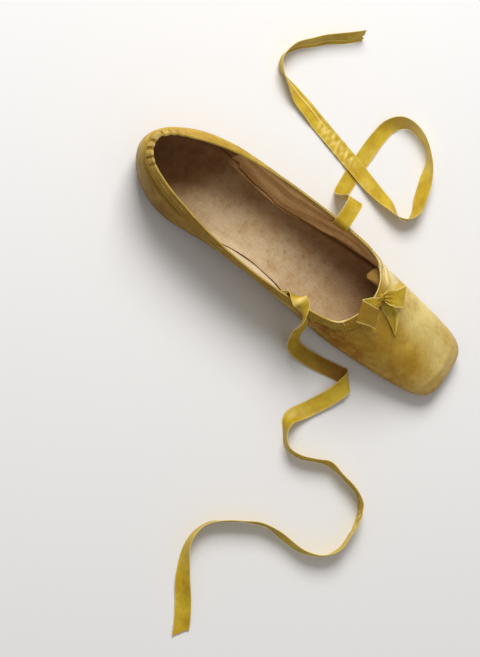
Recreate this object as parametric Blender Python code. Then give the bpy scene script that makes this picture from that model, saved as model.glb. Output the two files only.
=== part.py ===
"""Square-toed flat ballet slipper of about 1840, one shoe that fits either foot, with its ribbon ties.

Shoe frame: +X is the toe, +Y the left side, +Z up, origin under the middle of the shoe on the floor.
All sizes below are in millimetres; the objects are made in metres.
"""
import math

import bmesh
import bpy
import numpy as np

MM = 0.001
GAP = 0.3
SOLE_THICK = 3.0
UPPER_THICK = 1.0
INSOLE_THICK = 1.5
MARGIN_WIDTH = 6.0
BINDING_THICK = 0.6
BINDING_OUTSIDE = 7.0
BINDING_INSIDE = 4.5
CORNER_SLACK = 0.3
RIBS = 42
WALL_ROWS = 10
FRAME_X = 0.9
TIE_WIDTH = 10.0
TIE_THICK = 0.5
BOW_THICK = 0.5

# Half outline of the widest line of the upper, heel back to toe front: x, y.
GIRTH = [
    (-120.0, 0.0), (-118.6, 5.5), (-115.0, 11.2), (-110.0, 16.2), (-101.0, 22.2), (-90.0, 26.0),
    (-78.0, 27.2), (-53.0, 24.4), (-28.0, 22.0), (-3.0, 24.8), (22.0, 27.3), (40.0, 28.8),
    (60.0, 28.3), (80.0, 26.9), (97.0, 25.0), (107.3, 23.1), (114.0, 20.2), (117.9, 15.8),
    (119.5, 10.4), (119.9, 5.0), (120.0, 0.0),
]
# Half outline of the edge of the upper round the opening, heel to throat middle: x, y.
OPENING = [
    (-115.0, 0.0), (-113.6, 6.5), (-108.0, 12.7), (-96.0, 18.2), (-78.0, 22.8), (-53.0, 27.1),
    (-28.0, 29.2), (-3.0, 29.2), (20.0, 27.6), (32.0, 25.6), (38.4, 23.2), (42.0, 19.0),
    (44.8, 13.2), (46.7, 6.6), (47.2, 0.0),
]
# How far along the half outlines the front corner of the opening lies: girth x, opening x.
CORNER_GIRTH_X = 42.0
CORNER_OPENING_X = 40.6

# Stations along the shoe: x, sole underside z, sole inset from the girth line, girth line z.
FOOT = [
    (-120.0, 0.0, 5.2, 9.5), (-108.0, 0.0, 5.8, 9.5), (-72.0, 0.0, 6.2, 9.0), (-52.0, 0.9, 6.4, 9.6),
    (-28.0, 1.7, 6.2, 10.2), (-6.0, 1.0, 5.6, 9.2), (14.0, 0.0, 4.8, 8.4), (72.0, 0.0, 4.4, 8.0),
    (96.0, 0.5, 4.6, 7.9), (112.0, 1.5, 4.8, 8.0), (120.0, 2.2, 4.8, 8.4),
]
# Opening edge height and the wall's lean: x, z, outward degrees at the girth, inward degrees at the edge.
QUARTER = [
    (-117.0, 43.6, 12.0, 40.0), (-100.0, 43.0, 16.0, 36.0), (-78.0, 41.4, 18.0, 28.0),
    (-53.0, 39.6, 22.0, 20.0), (-28.0, 38.6, 26.0, 16.0), (-3.0, 38.2, 20.0, 20.0),
    (20.0, 38.6, 14.0, 30.0), (42.0, 39.2, 10.0, 44.0),
]
# Ridge of the vamp: x, z.
CROWN = [
    (20.0, 47.0), (42.0, 45.2), (52.0, 42.0), (66.0, 36.4), (80.0, 30.2), (94.0, 23.9), (104.0, 19.2),
    (111.0, 15.8), (115.5, 13.2), (118.4, 10.8), (120.0, 8.4),
]
VAMP_POWER = 2.5
# Left side of the heel: x and half length in millimetres, and how far the edge is drawn in, or how many
# degrees the wall leans beyond the right one.
LEFT_EDGE_IN = (-106.0, 24.0, 3.8)
LEFT_BELLY = (-68.0, 32.0, 28.0)

# Bow ribbons: x, y, z of the middle of the ribbon, then the vector from there to one edge.
BOW_NEAR_LOOP = [
    (50.5, -2.5, 47.4, 1.8, -4.2, -1.6), (48.5, -5.7, 47.0, 2.2, -5.9, -2.3),
    (45.7, -9.2, 46.7, 2.5, -6.0, -2.8), (44.2, -11.1, 47.0, 2.7, -5.8, -3.2),
    (43.6, -12.1, 48.2, 2.9, -5.7, -3.4), (44.4, -12.2, 49.4, 2.9, -5.7, -3.4),
    (47.5, -11.4, 49.6, 2.9, -5.3, -3.2), (51.7, -10.3, 48.8, 3.0, -4.9, -3.0),
    (55.4, -9.3, 47.4, 3.2, -4.8, -3.0),
]
BOW_FAR_LOOP = [
    (54.4, 6.2, 46.2, 2.6, -2.6, -0.8), (57.6, 8.4, 44.6, 3.2, -3.9, -0.8),
    (60.7, 11.7, 42.2, 3.2, -5.1, -0.8), (62.3, 13.6, 41.4, 3.1, -5.6, -0.8),
    (62.6, 13.7, 42.3, 3.1, -5.6, -0.8), (61.6, 12.5, 43.8, 3.1, -5.4, -0.8),
    (58.9, 8.7, 46.2, 3.1, -4.3, -0.8), (56.2, 7.0, 47.6, 3.1, -3.7, -0.8),
    (53.6, 5.3, 48.5, 3.0, -3.2, -0.7),
]
BOW_TAIL = [
    (52.2, 2.2, 44.7, 1.5, 1.3, 0.0), (57.0, 2.4, 42.9, 2.9, 2.4, -0.1), (61.6, 1.6, 40.2, 4.1, 3.0, -0.4),
    (65.4, -1.4, 38.6, 3.3, 1.3, -0.4), (69.2, -4.5, 37.0, 1.7, 0.5, -0.2),
    (72.2, -7.1, 35.6, 0.4, 0.0, 0.0),
]
BOW_SHORT_TAIL = [
    (55.0, 8.8, 44.2, 1.8, 0.0, 0.0), (55.7, 12.4, 42.8, 1.6, 0.0, 0.0),
    (56.5, 16.4, 40.6, 2.3, 0.0, 0.0), (58.0, 21.2, 38.0, 2.1, -0.1, 0.0),
]
# Knot: its middle, then its three half axes.
BOW_KNOT = [(51.2, 3.9, 47.0), (1.6, 1.4, -0.5), (1.0, -1.8, -0.6), (0.5, 0.2, 2.0)]

# Ribbon ties from the lining out: x, y, z of the middle, then the direction across the ribbon,
# longer than 1 in a fold, where it follows the slanted fold line.
TIE_NEAR = [
    (3.5, -27.4, 30.5, 0.94, 0.05, -0.34), (5.2, -26.8, 34.5, 0.93, 0.06, -0.36),
    (7.4, -25.7, 38.6, 0.9, 0.3, -0.3), (10.0, -26.9, 41.2, 0.78, 0.6, 0.0),
    (14.4, -28.8, 42.2, 0.45, 0.5, 0.75), (18.0, -33.2, 40.8, 0.1, -0.1, 0.99),
    (20.6, -36.0, 36.0, -0.3, -0.5, 0.8), (22.8, -37.4, 28.5, -0.55, -0.7, 0.45),
    (24.6, -40.0, 18.5, -0.5, -0.85, 0.2), (27.2, -42.3, 9.5, -0.35, -0.93, 0.05),
    (31.5, -43.4, 4.2, -0.1, -0.99, 0.0), (38.5, -43.2, 1.9, 0.0, -1.0, 0.0),
    (47.0, -42.3, 0.9, 0.0, -1.0, 0.0), (55.7, -40.6, 0.7, 0.06, -0.99, 0.0),
    (62.1, -39.4, 0.7, 0.27, -0.96, 0.0), (67.5, -38.5, 0.7, 0.82, -0.88, 0.0),
    (69.2, -38.6, 1.2, 0.9, -0.97, 0.0), (70.3, -39.2, 2.3, 0.93, -1.0, 0.0),
    (70.8, -40.3, 3.4, 0.9, -0.97, 0.0), (70.7, -42.0, 3.9, 0.82, -0.88, 0.0),
    (69.7, -47.2, 3.9, 0.93, -0.6, -0.03), (67.0, -54.6, 3.1, 0.9, -0.45, 0.0),
    (63.2, -62.4, 2.2, 0.88, -0.47, 0.0), (57.9, -72.0, 1.6, 0.87, -0.47, 0.15),
    (54.0, -78.6, 3.0, 0.75, -0.45, 0.45),
    (53.6, -85.0, 4.7, 0.4, -0.15, 0.88), (56.4, -91.5, 5.3, 0.0, 0.0, 1.0),
    (61.9, -96.6, 5.3, 0.0, 0.0, 1.0), (70.8, -97.1, 5.3, 0.0, 0.1, 1.0),
    (79.9, -93.6, 5.3, 0.0, 0.15, 1.0), (89.7, -89.7, 5.3, 0.0, 0.1, 1.0),
    (102.4, -91.3, 5.3, 0.0, 0.0, 1.0), (113.6, -93.9, 5.3, 0.0, 0.0, 1.0),
    (120.2, -99.1, 5.3, 0.0, 0.0, 1.0), (123.9, -107.8, 5.3, 0.0, 0.0, 1.0),
    (125.2, -118.8, 5.3, 0.0, 0.0, 1.0), (124.4, -129.0, 5.3, 0.0, 0.0, 1.0),
    (117.4, -139.1, 5.3, -0.1, 0.05, 1.0), (107.5, -143.8, 5.3, -0.1, 0.1, 1.0),
    (96.2, -144.2, 5.3, -0.1, 0.15, 1.0), (82.1, -143.7, 5.3, -0.05, 0.15, 1.0),
    (71.2, -146.8, 5.3, 0.0, 0.1, 1.0), (60.4, -153.2, 5.3, 0.0, 0.0, 1.0),
    (50.2, -160.3, 5.3, 0.0, 0.0, 1.0), (44.8, -168.9, 5.3, 0.0, 0.0, 1.0),
    (43.9, -178.3, 5.3, 0.15, 0.1, 1.0), (46.6, -187.4, 4.9, 0.35, 0.2, 0.9),
    (52.6, -197.8, 3.9, 0.6, 0.4, 0.7), (61.4, -209.9, 2.3, 0.8, 0.5, 0.35),
    (68.0, -219.9, 1.1, 0.83, 0.55, 0.12), (72.8, -228.8, 0.6, 0.84, 0.55, 0.0),
]
TIE_FAR = [
    (6.0, 27.8, 30.0, -1.0, 0.0, 0.0), (6.0, 27.0, 34.0, -1.0, 0.0, 0.0),
    (6.0, 25.9, 38.2, -1.0, 0.0, 0.0), (5.9, 28.0, 41.2, -1.0, 0.0, 0.0),
    (5.8, 31.5, 41.8, -1.0, 0.0, 0.0), (5.6, 37.0, 41.8, -1.0, 0.0, 0.0),
    (5.4, 42.0, 41.0, -1.0, 0.0, 0.0), (4.8, 45.6, 38.0, -1.0, -0.1, 0.0),
    (3.8, 47.0, 32.5, -1.0, -0.1, 0.0), (2.4, 48.7, 22.0, -1.0, -0.1, 0.0),
    (1.2, 50.8, 10.0, -1.0, -0.1, 0.0), (0.5, 53.0, 3.8, -1.0, 0.0, 0.0),
    (0.1, 57.0, 0.9, -1.0, 0.0, 0.0), (-0.3, 64.0, 0.45, -1.0, 0.0, 0.0),
    (-0.7, 74.0, 0.4, -1.0, 0.0, 0.0), (-0.8, 87.5, 0.45, -1.0, 0.0, 0.0),
    (-0.4, 100.0, 0.9, -1.0, 0.0, 0.1), (1.0, 109.5, 2.4, -0.9, 0.1, 0.35),
    (5.5, 116.3, 4.5, -0.5, 0.5, 0.75), (14.7, 118.8, 5.3, 0.0, 0.2, 1.0),
    (27.4, 114.6, 5.3, 0.0, 0.0, 1.0), (34.5, 107.0, 5.2, 0.1, 0.0, 1.0),
    (39.3, 97.0, 4.5, 0.5, 0.2, 0.8), (43.2, 85.0, 4.2, 0.6, 0.25, 0.72),
    (46.3, 75.5, 4.8, 0.4, 0.05, 0.9), (44.8, 67.6, 5.3, 0.0, 0.0, 1.0),
    (38.3, 65.2, 5.3, -0.1, -0.3, 0.9), (28.0, 67.5, 4.2, -0.2, -0.8, 0.6),
    (14.0, 70.8, 2.4, -0.25, -0.96, 0.15), (0.0, 74.5, 1.7, -0.25, -0.97, 0.0),
    (-15.0, 78.3, 1.4, -0.25, -0.97, 0.0), (-30.0, 82.0, 1.2, -0.25, -0.97, 0.0),
    (-45.0, 85.8, 1.4, -0.25, -0.9, 0.15), (-58.0, 89.3, 2.6, -0.2, -0.8, 0.4),
    (-68.5, 92.8, 4.4, -0.15, -0.5, 0.85), (-77.0, 96.8, 5.3, 0.0, 0.0, 1.0),
    (-80.3, 104.0, 5.3, 0.0, 0.0, 1.0), (-78.2, 112.0, 5.2, -0.2, 0.1, 0.95),
    (-73.0, 119.8, 4.9, -0.3, 0.2, 0.9), (-64.0, 129.8, 4.8, -0.3, 0.3, 0.9),
    (-54.4, 139.1, 4.7, -0.35, 0.35, 0.85), (-45.4, 148.3, 4.7, -0.35, 0.35, 0.85),
]


def spline(points, per_span):
    """Centripetal Catmull-Rom curve through a half outline, mirrored across y = 0 at both ends."""
    p = [np.array(q, float) for q in points]
    mirror = np.array([1.0, -1.0])
    p = [p[1] * mirror] + p + [p[-2] * mirror]
    out = []
    for a, b, c, d in zip(p, p[1:], p[2:], p[3:]):
        t0 = 0.0
        t1 = t0 + max(np.linalg.norm(b - a), 1e-6) ** 0.5
        t2 = t1 + max(np.linalg.norm(c - b), 1e-6) ** 0.5
        t3 = t2 + max(np.linalg.norm(d - c), 1e-6) ** 0.5
        for k in range(per_span):
            t = t1 + (t2 - t1) * k / per_span
            ab = a * (t1 - t) / (t1 - t0) + b * (t - t0) / (t1 - t0)
            bc = b * (t2 - t) / (t2 - t1) + c * (t - t1) / (t2 - t1)
            cd = c * (t3 - t) / (t3 - t2) + d * (t - t2) / (t3 - t2)
            abc = ab * (t2 - t) / (t2 - t0) + bc * (t - t0) / (t2 - t0)
            bcd = bc * (t3 - t) / (t3 - t1) + cd * (t - t1) / (t3 - t1)
            out.append(abc * (t2 - t) / (t2 - t1) + bcd * (t - t1) / (t2 - t1))
    out.append(p[-2])
    return np.array(out)


def column(table, x, index):
    """Smooth value of one column of a station table at x."""
    xs = [row[0] for row in table]
    ys = [row[index] for row in table]
    if x <= xs[0]:
        return ys[0]
    if x >= xs[-1]:
        return ys[-1]
    i = max(k for k in range(len(xs) - 1) if xs[k] <= x)
    span = xs[i + 1] - xs[i]
    rise = (ys[i + 1] - ys[i]) / span

    def slope(k):
        if k == 0 or k == len(xs) - 1:
            return rise
        left = (ys[k] - ys[k - 1]) / (xs[k] - xs[k - 1])
        right = (ys[k + 1] - ys[k]) / (xs[k + 1] - xs[k])
        if left * right <= 0.0:
            return 0.0
        return 2.0 * left * right / (left + right)

    t = (x - xs[i]) / span
    h00 = 2 * t ** 3 - 3 * t ** 2 + 1
    h10 = t ** 3 - 2 * t ** 2 + t
    h01 = 3 * t ** 2 - 2 * t ** 3
    h11 = t ** 3 - t ** 2
    return h00 * ys[i] + h10 * span * slope(i) + h01 * ys[i + 1] + h11 * span * slope(i + 1)


def cut_evenly(curve, corner_x, share, count):
    """Points of a half outline at even steps before and after its corner, share of them before it."""
    run = np.r_[0.0, np.cumsum(np.linalg.norm(np.diff(curve, axis=0), axis=1))]
    corner = run[int(np.argmax(curve[:, 0] >= corner_x))]
    first = int(round(count * share))
    at = np.r_[np.linspace(0.0, corner, first + 1), np.linspace(corner, run[-1], count - first + 1)[1:]]
    return np.c_[np.interp(at, run, curve[:, 0]), np.interp(at, run, curve[:, 1])]


def full_loop(half):
    """Closed loop from a half outline: left side heel to toe, then right side toe to heel."""
    right = half[1:-1][::-1] * np.array([1.0, -1.0])
    return np.vstack([half, right])


def outward(loop):
    """Unit normals of a closed plan loop, pointing away from the shoe's middle."""
    run = np.roll(loop, -1, 0) - np.roll(loop, 1, 0)
    normal = np.c_[-run[:, 1], run[:, 0]]
    normal /= np.linalg.norm(normal, axis=1)[:, None]
    return normal


GIRTH_CURVE = spline(GIRTH, 24)
OPENING_CURVE = spline(OPENING, 24)
CORNER_SHARE = 0.62


def half_width(x):
    """Half width of the girth line at x, nought beyond its ends."""
    return float(np.interp(x, GIRTH_CURVE[:, 0], GIRTH_CURVE[:, 1], left=0.0, right=0.0))


def vamp_height(x, y):
    """Height of the vamp's outer face above the floor."""
    low = column(FOOT, x, 3)
    high = column(CROWN, x, 1)
    side = min(abs(y) / max(half_width(x), 1e-3), 1.0)
    return low + (high - low) * max(1.0 - side ** VAMP_POWER, 0.0) ** (1.0 / VAMP_POWER)


def smooth(low, high, value):
    t = min(max((value - low) / (high - low), 0.0), 1.0)
    return t * t * (3.0 - 2.0 * t)


def left_share(x, y, place, length):
    """Share of a left-side form at a point, 1 at its place and fading along the slipper."""
    return math.exp(-((x - place) / length) ** 2) * smooth(0.0, 9.0, y)


def shell_grid(ribs, wall_rows):
    """Outer face of the upper: one row of points per rib, from the turned-in margin to the opening edge."""
    girth = full_loop(cut_evenly(GIRTH_CURVE, CORNER_GIRTH_X, CORNER_SHARE, ribs))
    opening = full_loop(cut_evenly(OPENING_CURVE, CORNER_OPENING_X, CORNER_SHARE, ribs))
    away = outward(girth)
    grid = []
    for (gx, gy), (ox, oy), normal in zip(girth, opening, away):
        oy -= LEFT_EDGE_IN[2] * left_share(ox, oy, *LEFT_EDGE_IN[:2])
        belly = LEFT_BELLY[2] * left_share(ox, oy, *LEFT_BELLY[:2])
        base = column(FOOT, gx, 1)
        inset = column(FOOT, gx, 2)
        low = column(FOOT, gx, 3)
        floor = base + SOLE_THICK + GAP
        out3 = np.array([normal[0], normal[1], 0.0])
        foot = np.array([gx, gy, floor])
        edge = foot - out3 * inset
        rib = [edge - out3 * MARGIN_WIDTH, edge - out3 * 0.5]
        for angle in (32.0, 62.0):
            turn = math.radians(angle)
            rise = (low - floor) * (1.0 - math.cos(turn))
            rib.append(edge + out3 * inset * math.sin(turn) + np.array([0.0, 0.0, rise]))
        start = np.array([gx, gy, low])
        vamp_share = smooth(CORNER_OPENING_X - 18.0, CORNER_OPENING_X + 1.5, ox)
        edge_z = column(QUARTER, ox, 1)
        edge_z += (vamp_height(ox, oy) - edge_z) * smooth(CORNER_OPENING_X - 1.0, CORNER_OPENING_X + 4.5, ox)
        stretch = (edge_z - low) / (vamp_height(ox, oy) - low) if ox > 0.0 else 1.0
        end = np.array([ox, oy, edge_z])
        reach = 0.95 * np.linalg.norm(end - start)
        lean_out = math.radians(column(QUARTER, ox, 2) + belly)
        lean_in = math.radians(column(QUARTER, ox, 3) + belly)
        m0 = reach * (out3 * math.sin(lean_out) + np.array([0.0, 0.0, math.cos(lean_out)]))
        m1 = reach * (np.array([0.0, 0.0, math.cos(lean_in)]) - out3 * math.sin(lean_in))
        for k in range(wall_rows + 1):
            v = k / wall_rows
            h00 = 2 * v ** 3 - 3 * v ** 2 + 1
            h10 = v ** 3 - 2 * v ** 2 + v
            h01 = 3 * v ** 2 - 2 * v ** 3
            h11 = v ** 3 - v ** 2
            quarter = h00 * start + h10 * m0 + h01 * end + h11 * m1
            far = v ** 2.0
            px = gx + (ox - gx) * far
            py = gy + (oy - gy) * far
            vamp = np.array([px, py, low + max(vamp_height(px, py) - low, 0.0) * stretch])
            rib.append(quarter + (vamp - quarter) * vamp_share)
        grid.append(rib)
    return np.array(grid)


def grid_normals(grid):
    """Outward unit normals of a grid closed in its first direction."""
    along = np.roll(grid, -1, 0) - np.roll(grid, 1, 0)
    up = np.gradient(grid, axis=1)
    normal = np.cross(up, along)
    length = np.linalg.norm(normal, axis=2, keepdims=True)
    return normal / np.maximum(length, 1e-9)


def make_material(name, colour, roughness, sheen):
    material = bpy.data.materials.new(name)
    material.use_nodes = True
    shader = material.node_tree.nodes["Principled BSDF"]
    shader.inputs["Base Color"].default_value = (*colour, 1.0)
    shader.inputs["Roughness"].default_value = roughness
    shader.inputs["Sheen Weight"].default_value = sheen
    return material


def make_object(name, points, faces, material):
    """Mesh object from points in millimetres, with its faces turned outwards.

    FRAME_X moves the tables' shoe so that its heel and toe lie equally far from the origin.
    """
    mesh = bpy.data.meshes.new(name)
    placed = [((float(x) + FRAME_X) * MM, float(y) * MM, float(z) * MM) for x, y, z in points]
    mesh.from_pydata(placed, [], faces)
    mesh.validate()
    work = bmesh.new()
    work.from_mesh(mesh)
    bmesh.ops.recalc_face_normals(work, faces=work.faces)
    if work.calc_volume(signed=True) < 0.0:
        bmesh.ops.reverse_faces(work, faces=work.faces)
    work.to_mesh(mesh)
    work.free()
    for polygon in mesh.polygons:
        polygon.use_smooth = True
    mesh.materials.append(material)
    item = bpy.data.objects.new(name, mesh)
    bpy.context.scene.collection.objects.link(item)
    return item


def ring_solid(name, section, material):
    """Closed body from sections (loops x points x 3) joined round both ways."""
    loops, count = section.shape[:2]
    points = section.reshape(-1, 3)
    faces = []
    for i in range(loops):
        j = (i + 1) % loops
        for k in range(count):
            m = (k + 1) % count
            faces.append((i * count + k, i * count + m, j * count + m, j * count + k))
    return make_object(name, points, faces, material)


def plate(name, loops, material):
    """Closed body from stacked plan loops of equal length, capped across from left to right."""
    count = len(loops[0])
    half = count // 2
    points = [p for loop in loops for p in loop]
    faces = []
    for r in range(len(loops) - 1):
        for k in range(count):
            m = (k + 1) % count
            faces.append((r * count + k, r * count + m, (r + 1) * count + m, (r + 1) * count + k))
    for r in (0, len(loops) - 1):
        base = r * count
        faces.append((base, base + 1, base + count - 1))
        for k in range(1, half - 1):
            faces.append((base + k, base + k + 1, base + count - k - 1, base + count - k))
        faces.append((base + half - 1, base + half, base + half + 1))
    return make_object(name, points, faces, material)


def foot_loop(girth, away, extra, lift):
    """Plan loop at the sole's edge moved inwards by extra, at lift above the sole's underside."""
    loop = []
    for (gx, gy), normal in zip(girth, away):
        inset = column(FOOT, gx, 2) + extra
        loop.append((gx - normal[0] * inset, gy - normal[1] * inset, column(FOOT, gx, 1) + lift))
    return loop


def strip_sections(route, steps_per_span, half_width, thick):
    """Rectangular sections of a flat ribbon along control rows x, y, z, wx, wy, wz.

    w points across the ribbon; it is taken as the half width itself where half_width is None. Else it
    is set square to the run, but a w longer than 1.15 is kept as the slanted line of a fold.
    """
    rows = np.array(route, float)
    rows = np.vstack([2 * rows[0] - rows[1], rows, 2 * rows[-1] - rows[-2]])
    samples = []
    for a, b, c, d in zip(rows, rows[1:], rows[2:], rows[3:]):
        for k in range(steps_per_span):
            t = k / steps_per_span
            samples.append(0.5 * (2 * b + (c - a) * t + (2 * a - 5 * b + 4 * c - d) * t * t
                                  + (3 * b - a - 3 * c + d) * t ** 3))
    samples.append(rows[-2])
    samples = np.array(samples)
    path = samples[:, :3]
    across = samples[:, 3:]
    run = np.gradient(path, axis=0)
    run /= np.linalg.norm(run, axis=1)[:, None]
    if half_width is not None:
        slant = np.clip((np.linalg.norm(across, axis=1)[:, None] - 1.03) / 0.12, 0.0, 1.0)
        square = across - run * np.sum(across * run, axis=1)[:, None]
        square = square / np.linalg.norm(square, axis=1)[:, None]
        across = (square + (across - square) * slant) * half_width
    face = np.cross(run, across)
    face = face / np.linalg.norm(face, axis=1)[:, None] * thick / 2
    return np.stack([path - across - face, path + across - face,
                     path + across + face, path - across + face], axis=1)


def strip(name, route, steps_per_span, half_width, thick, material):
    """Flat ribbon as one closed body with square ends."""
    section = strip_sections(route, steps_per_span, half_width, thick)
    loops, count = section.shape[:2]
    faces = []
    for i in range(loops - 1):
        for k in range(count):
            m = (k + 1) % count
            faces.append((i * count + k, i * count + m, (i + 1) * count + m, (i + 1) * count + k))
    faces.append(tuple(range(count)))
    faces.append(tuple((loops - 1) * count + k for k in range(count)))
    return make_object(name, section.reshape(-1, 3), faces, material)


def pillow(name, centre, axes, rings, around, material):
    """Rounded lump from a centre and three half-axis vectors."""
    axes = np.array(axes, float)
    points = []
    for r in range(1, rings):
        lift = math.pi * r / rings
        for k in range(around):
            turn = 2 * math.pi * k / around
            c, s = math.cos(turn), math.sin(turn)
            square = (abs(c) ** 4 + abs(s) ** 4) ** -0.25
            local = np.array([math.sin(lift) * c * square, math.sin(lift) * s * square, math.cos(lift)])
            points.append(np.array(centre) + local @ axes)
    top = len(points)
    points.append(np.array(centre) + axes[2])
    points.append(np.array(centre) - axes[2])
    faces = []
    for k in range(around):
        m = (k + 1) % around
        faces.append((top, k, m))
        faces.append((top + 1, (rings - 2) * around + m, (rings - 2) * around + k))
        for r in range(rings - 2):
            faces.append((r * around + k, r * around + m, (r + 1) * around + m, (r + 1) * around + k))
    return make_object(name, points, faces, material)


def build():
    for item in list(bpy.data.objects):
        bpy.data.objects.remove(item, do_unlink=True)

    satin = make_material("mustard_satin", (0.42, 0.29, 0.065), 0.45, 0.3)
    leather = make_material("sole_leather", (0.33, 0.21, 0.11), 0.7, 0.0)
    sock = make_material("sock_leather", (0.42, 0.29, 0.16), 0.75, 0.0)
    tape = make_material("binding_tape", (0.46, 0.35, 0.12), 0.55, 0.2)
    ribbon = make_material("ribbon_silk", (0.58, 0.44, 0.06), 0.4, 0.3)

    girth = full_loop(cut_evenly(GIRTH_CURVE, CORNER_GIRTH_X, CORNER_SHARE, RIBS))
    away = outward(girth)

    plate("sole", [
        foot_loop(girth, away, 0.8, 0.0), foot_loop(girth, away, 0.0, 0.8),
        foot_loop(girth, away, 0.0, SOLE_THICK - 0.5), foot_loop(girth, away, 0.4, SOLE_THICK),
    ], leather)

    margin_top = SOLE_THICK + GAP + UPPER_THICK + GAP
    inner = MARGIN_WIDTH + 0.5
    plate("insole", [
        foot_loop(girth, away, inner, SOLE_THICK + GAP), foot_loop(girth, away, inner, margin_top),
        foot_loop(girth, away, 0.5, margin_top), foot_loop(girth, away, -1.6, margin_top + 0.7),
        foot_loop(girth, away, -1.6, margin_top + INSOLE_THICK),
    ], sock)

    outer = shell_grid(RIBS, WALL_ROWS)
    normals = grid_normals(outer)
    wall = np.concatenate([outer, (outer - normals * UPPER_THICK)[:, ::-1]], axis=1)
    ring_solid("upper", wall, satin)

    binding = []
    for rib, rib_normals in zip(outer, normals):
        run = np.r_[0.0, np.cumsum(np.linalg.norm(np.diff(rib[::-1], axis=0), axis=1))]

        def at(depth, off):
            place = np.array([np.interp(depth, run, rib[::-1, c]) for c in range(3)])
            normal = np.array([np.interp(depth, run, rib_normals[::-1, c]) for c in range(3)])
            return place + normal / np.linalg.norm(normal) * off

        top = at(0.0, 0.0)
        rise = at(0.0, 0.0) - at(1.0, 0.0)
        rise /= np.linalg.norm(rise)
        slack = CORNER_SLACK * math.exp(-((rib[-1, 0] - CORNER_OPENING_X) / 5.0) ** 2)
        near_face = GAP + slack
        far_face = near_face + BINDING_THICK
        back_face = -UPPER_THICK - GAP - slack
        deep_face = back_face - BINDING_THICK
        binding.append([
            at(BINDING_OUTSIDE, far_face), at(3.5, far_face), at(0.0, far_face),
            at(0.0, -0.1) + rise * (GAP + BINDING_THICK),
            at(0.0, -UPPER_THICK + 0.1) + rise * (GAP + BINDING_THICK),
            at(0.0, deep_face), at(BINDING_INSIDE, deep_face),
            at(BINDING_INSIDE, back_face), at(0.0, back_face) + rise * GAP,
            at(0.0, near_face) + rise * GAP, at(3.5, near_face), at(BINDING_OUTSIDE, near_face),
        ])
    ring_solid("topline_binding", np.array(binding), tape)

    strip("bow_near_loop", BOW_NEAR_LOOP, 2, None, BOW_THICK, ribbon)
    strip("bow_far_loop", BOW_FAR_LOOP, 2, None, BOW_THICK, ribbon)
    strip("bow_tail", BOW_TAIL, 3, None, BOW_THICK, ribbon)
    strip("bow_short_tail", BOW_SHORT_TAIL, 3, None, BOW_THICK, ribbon)
    strip("tie_near", TIE_NEAR, 2, TIE_WIDTH / 2, TIE_THICK, ribbon)
    strip("tie_far", TIE_FAR, 2, TIE_WIDTH / 2, TIE_THICK, ribbon)
    pillow("bow_knot", BOW_KNOT[0], BOW_KNOT[1:], 8, 16, ribbon)


build()
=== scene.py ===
"""Finish of a square-toed flat ballet slipper: satin, linings, tape, bow, ribbon ties and their stitches.

Lengths are millimetres in the slipper's own frame, +X to the toe, +Y to its left and +Z up. They become
metres where a mesh is made.
"""

import math

import bmesh
import bpy
import numpy as np
from mathutils import Matrix


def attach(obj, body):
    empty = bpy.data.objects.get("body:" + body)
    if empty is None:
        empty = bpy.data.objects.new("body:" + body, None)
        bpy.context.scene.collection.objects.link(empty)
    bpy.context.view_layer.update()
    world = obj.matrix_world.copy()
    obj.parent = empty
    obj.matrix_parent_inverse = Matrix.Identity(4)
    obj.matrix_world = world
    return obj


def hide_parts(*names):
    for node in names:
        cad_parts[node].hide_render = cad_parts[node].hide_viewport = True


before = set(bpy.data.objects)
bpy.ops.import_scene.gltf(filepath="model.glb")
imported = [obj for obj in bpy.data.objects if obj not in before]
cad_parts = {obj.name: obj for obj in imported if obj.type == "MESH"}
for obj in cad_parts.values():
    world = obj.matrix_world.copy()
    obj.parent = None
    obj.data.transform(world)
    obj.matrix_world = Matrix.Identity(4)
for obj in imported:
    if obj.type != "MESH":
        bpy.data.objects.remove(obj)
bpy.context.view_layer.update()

MM = 0.001
FRAME_X = 0.9
GAP = 0.3
SOLE_THICK = 3.0
UPPER_THICK = 1.0
SOCK_TOP = 6.1
MARGIN_WIDTH = 6.0
TAPE_OUTSIDE = 7.0
TAPE_INSIDE = 4.5
TIE_WIDTH = 10.0
TIE_THICK = 0.35
BOW_THICK = 0.35
RIBS = 300
WALL_ROWS = 60
SLIT_SIDE = -0.43

# Half outline of the widest line of the upper, heel back to toe front: x, y.
GIRTH = [
    (-120.0, 0.0), (-118.6, 5.5), (-115.0, 11.2), (-110.0, 16.2), (-101.0, 22.2), (-90.0, 26.0),
    (-78.0, 27.2), (-53.0, 24.4), (-28.0, 22.0), (-3.0, 24.8), (22.0, 27.3), (40.0, 28.8),
    (60.0, 28.3), (80.0, 26.9), (97.0, 25.0), (107.3, 23.1), (114.0, 20.2), (117.9, 15.8),
    (119.5, 10.4), (119.9, 5.0), (120.0, 0.0),
]
# Half outline of the edge of the upper round the opening, heel to throat middle: x, y.
OPENING = [
    (-115.0, 0.0), (-113.6, 6.5), (-108.0, 12.7), (-96.0, 18.2), (-78.0, 22.8), (-53.0, 27.1),
    (-28.0, 29.2), (-3.0, 29.2), (20.0, 27.6), (32.0, 25.6), (38.4, 23.2), (42.0, 19.0),
    (44.8, 13.2), (46.7, 6.6), (47.2, 0.0),
]
CORNER_GIRTH_X = 42.0
CORNER_OPENING_X = 40.6
CORNER_SHARE = 0.62
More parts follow.
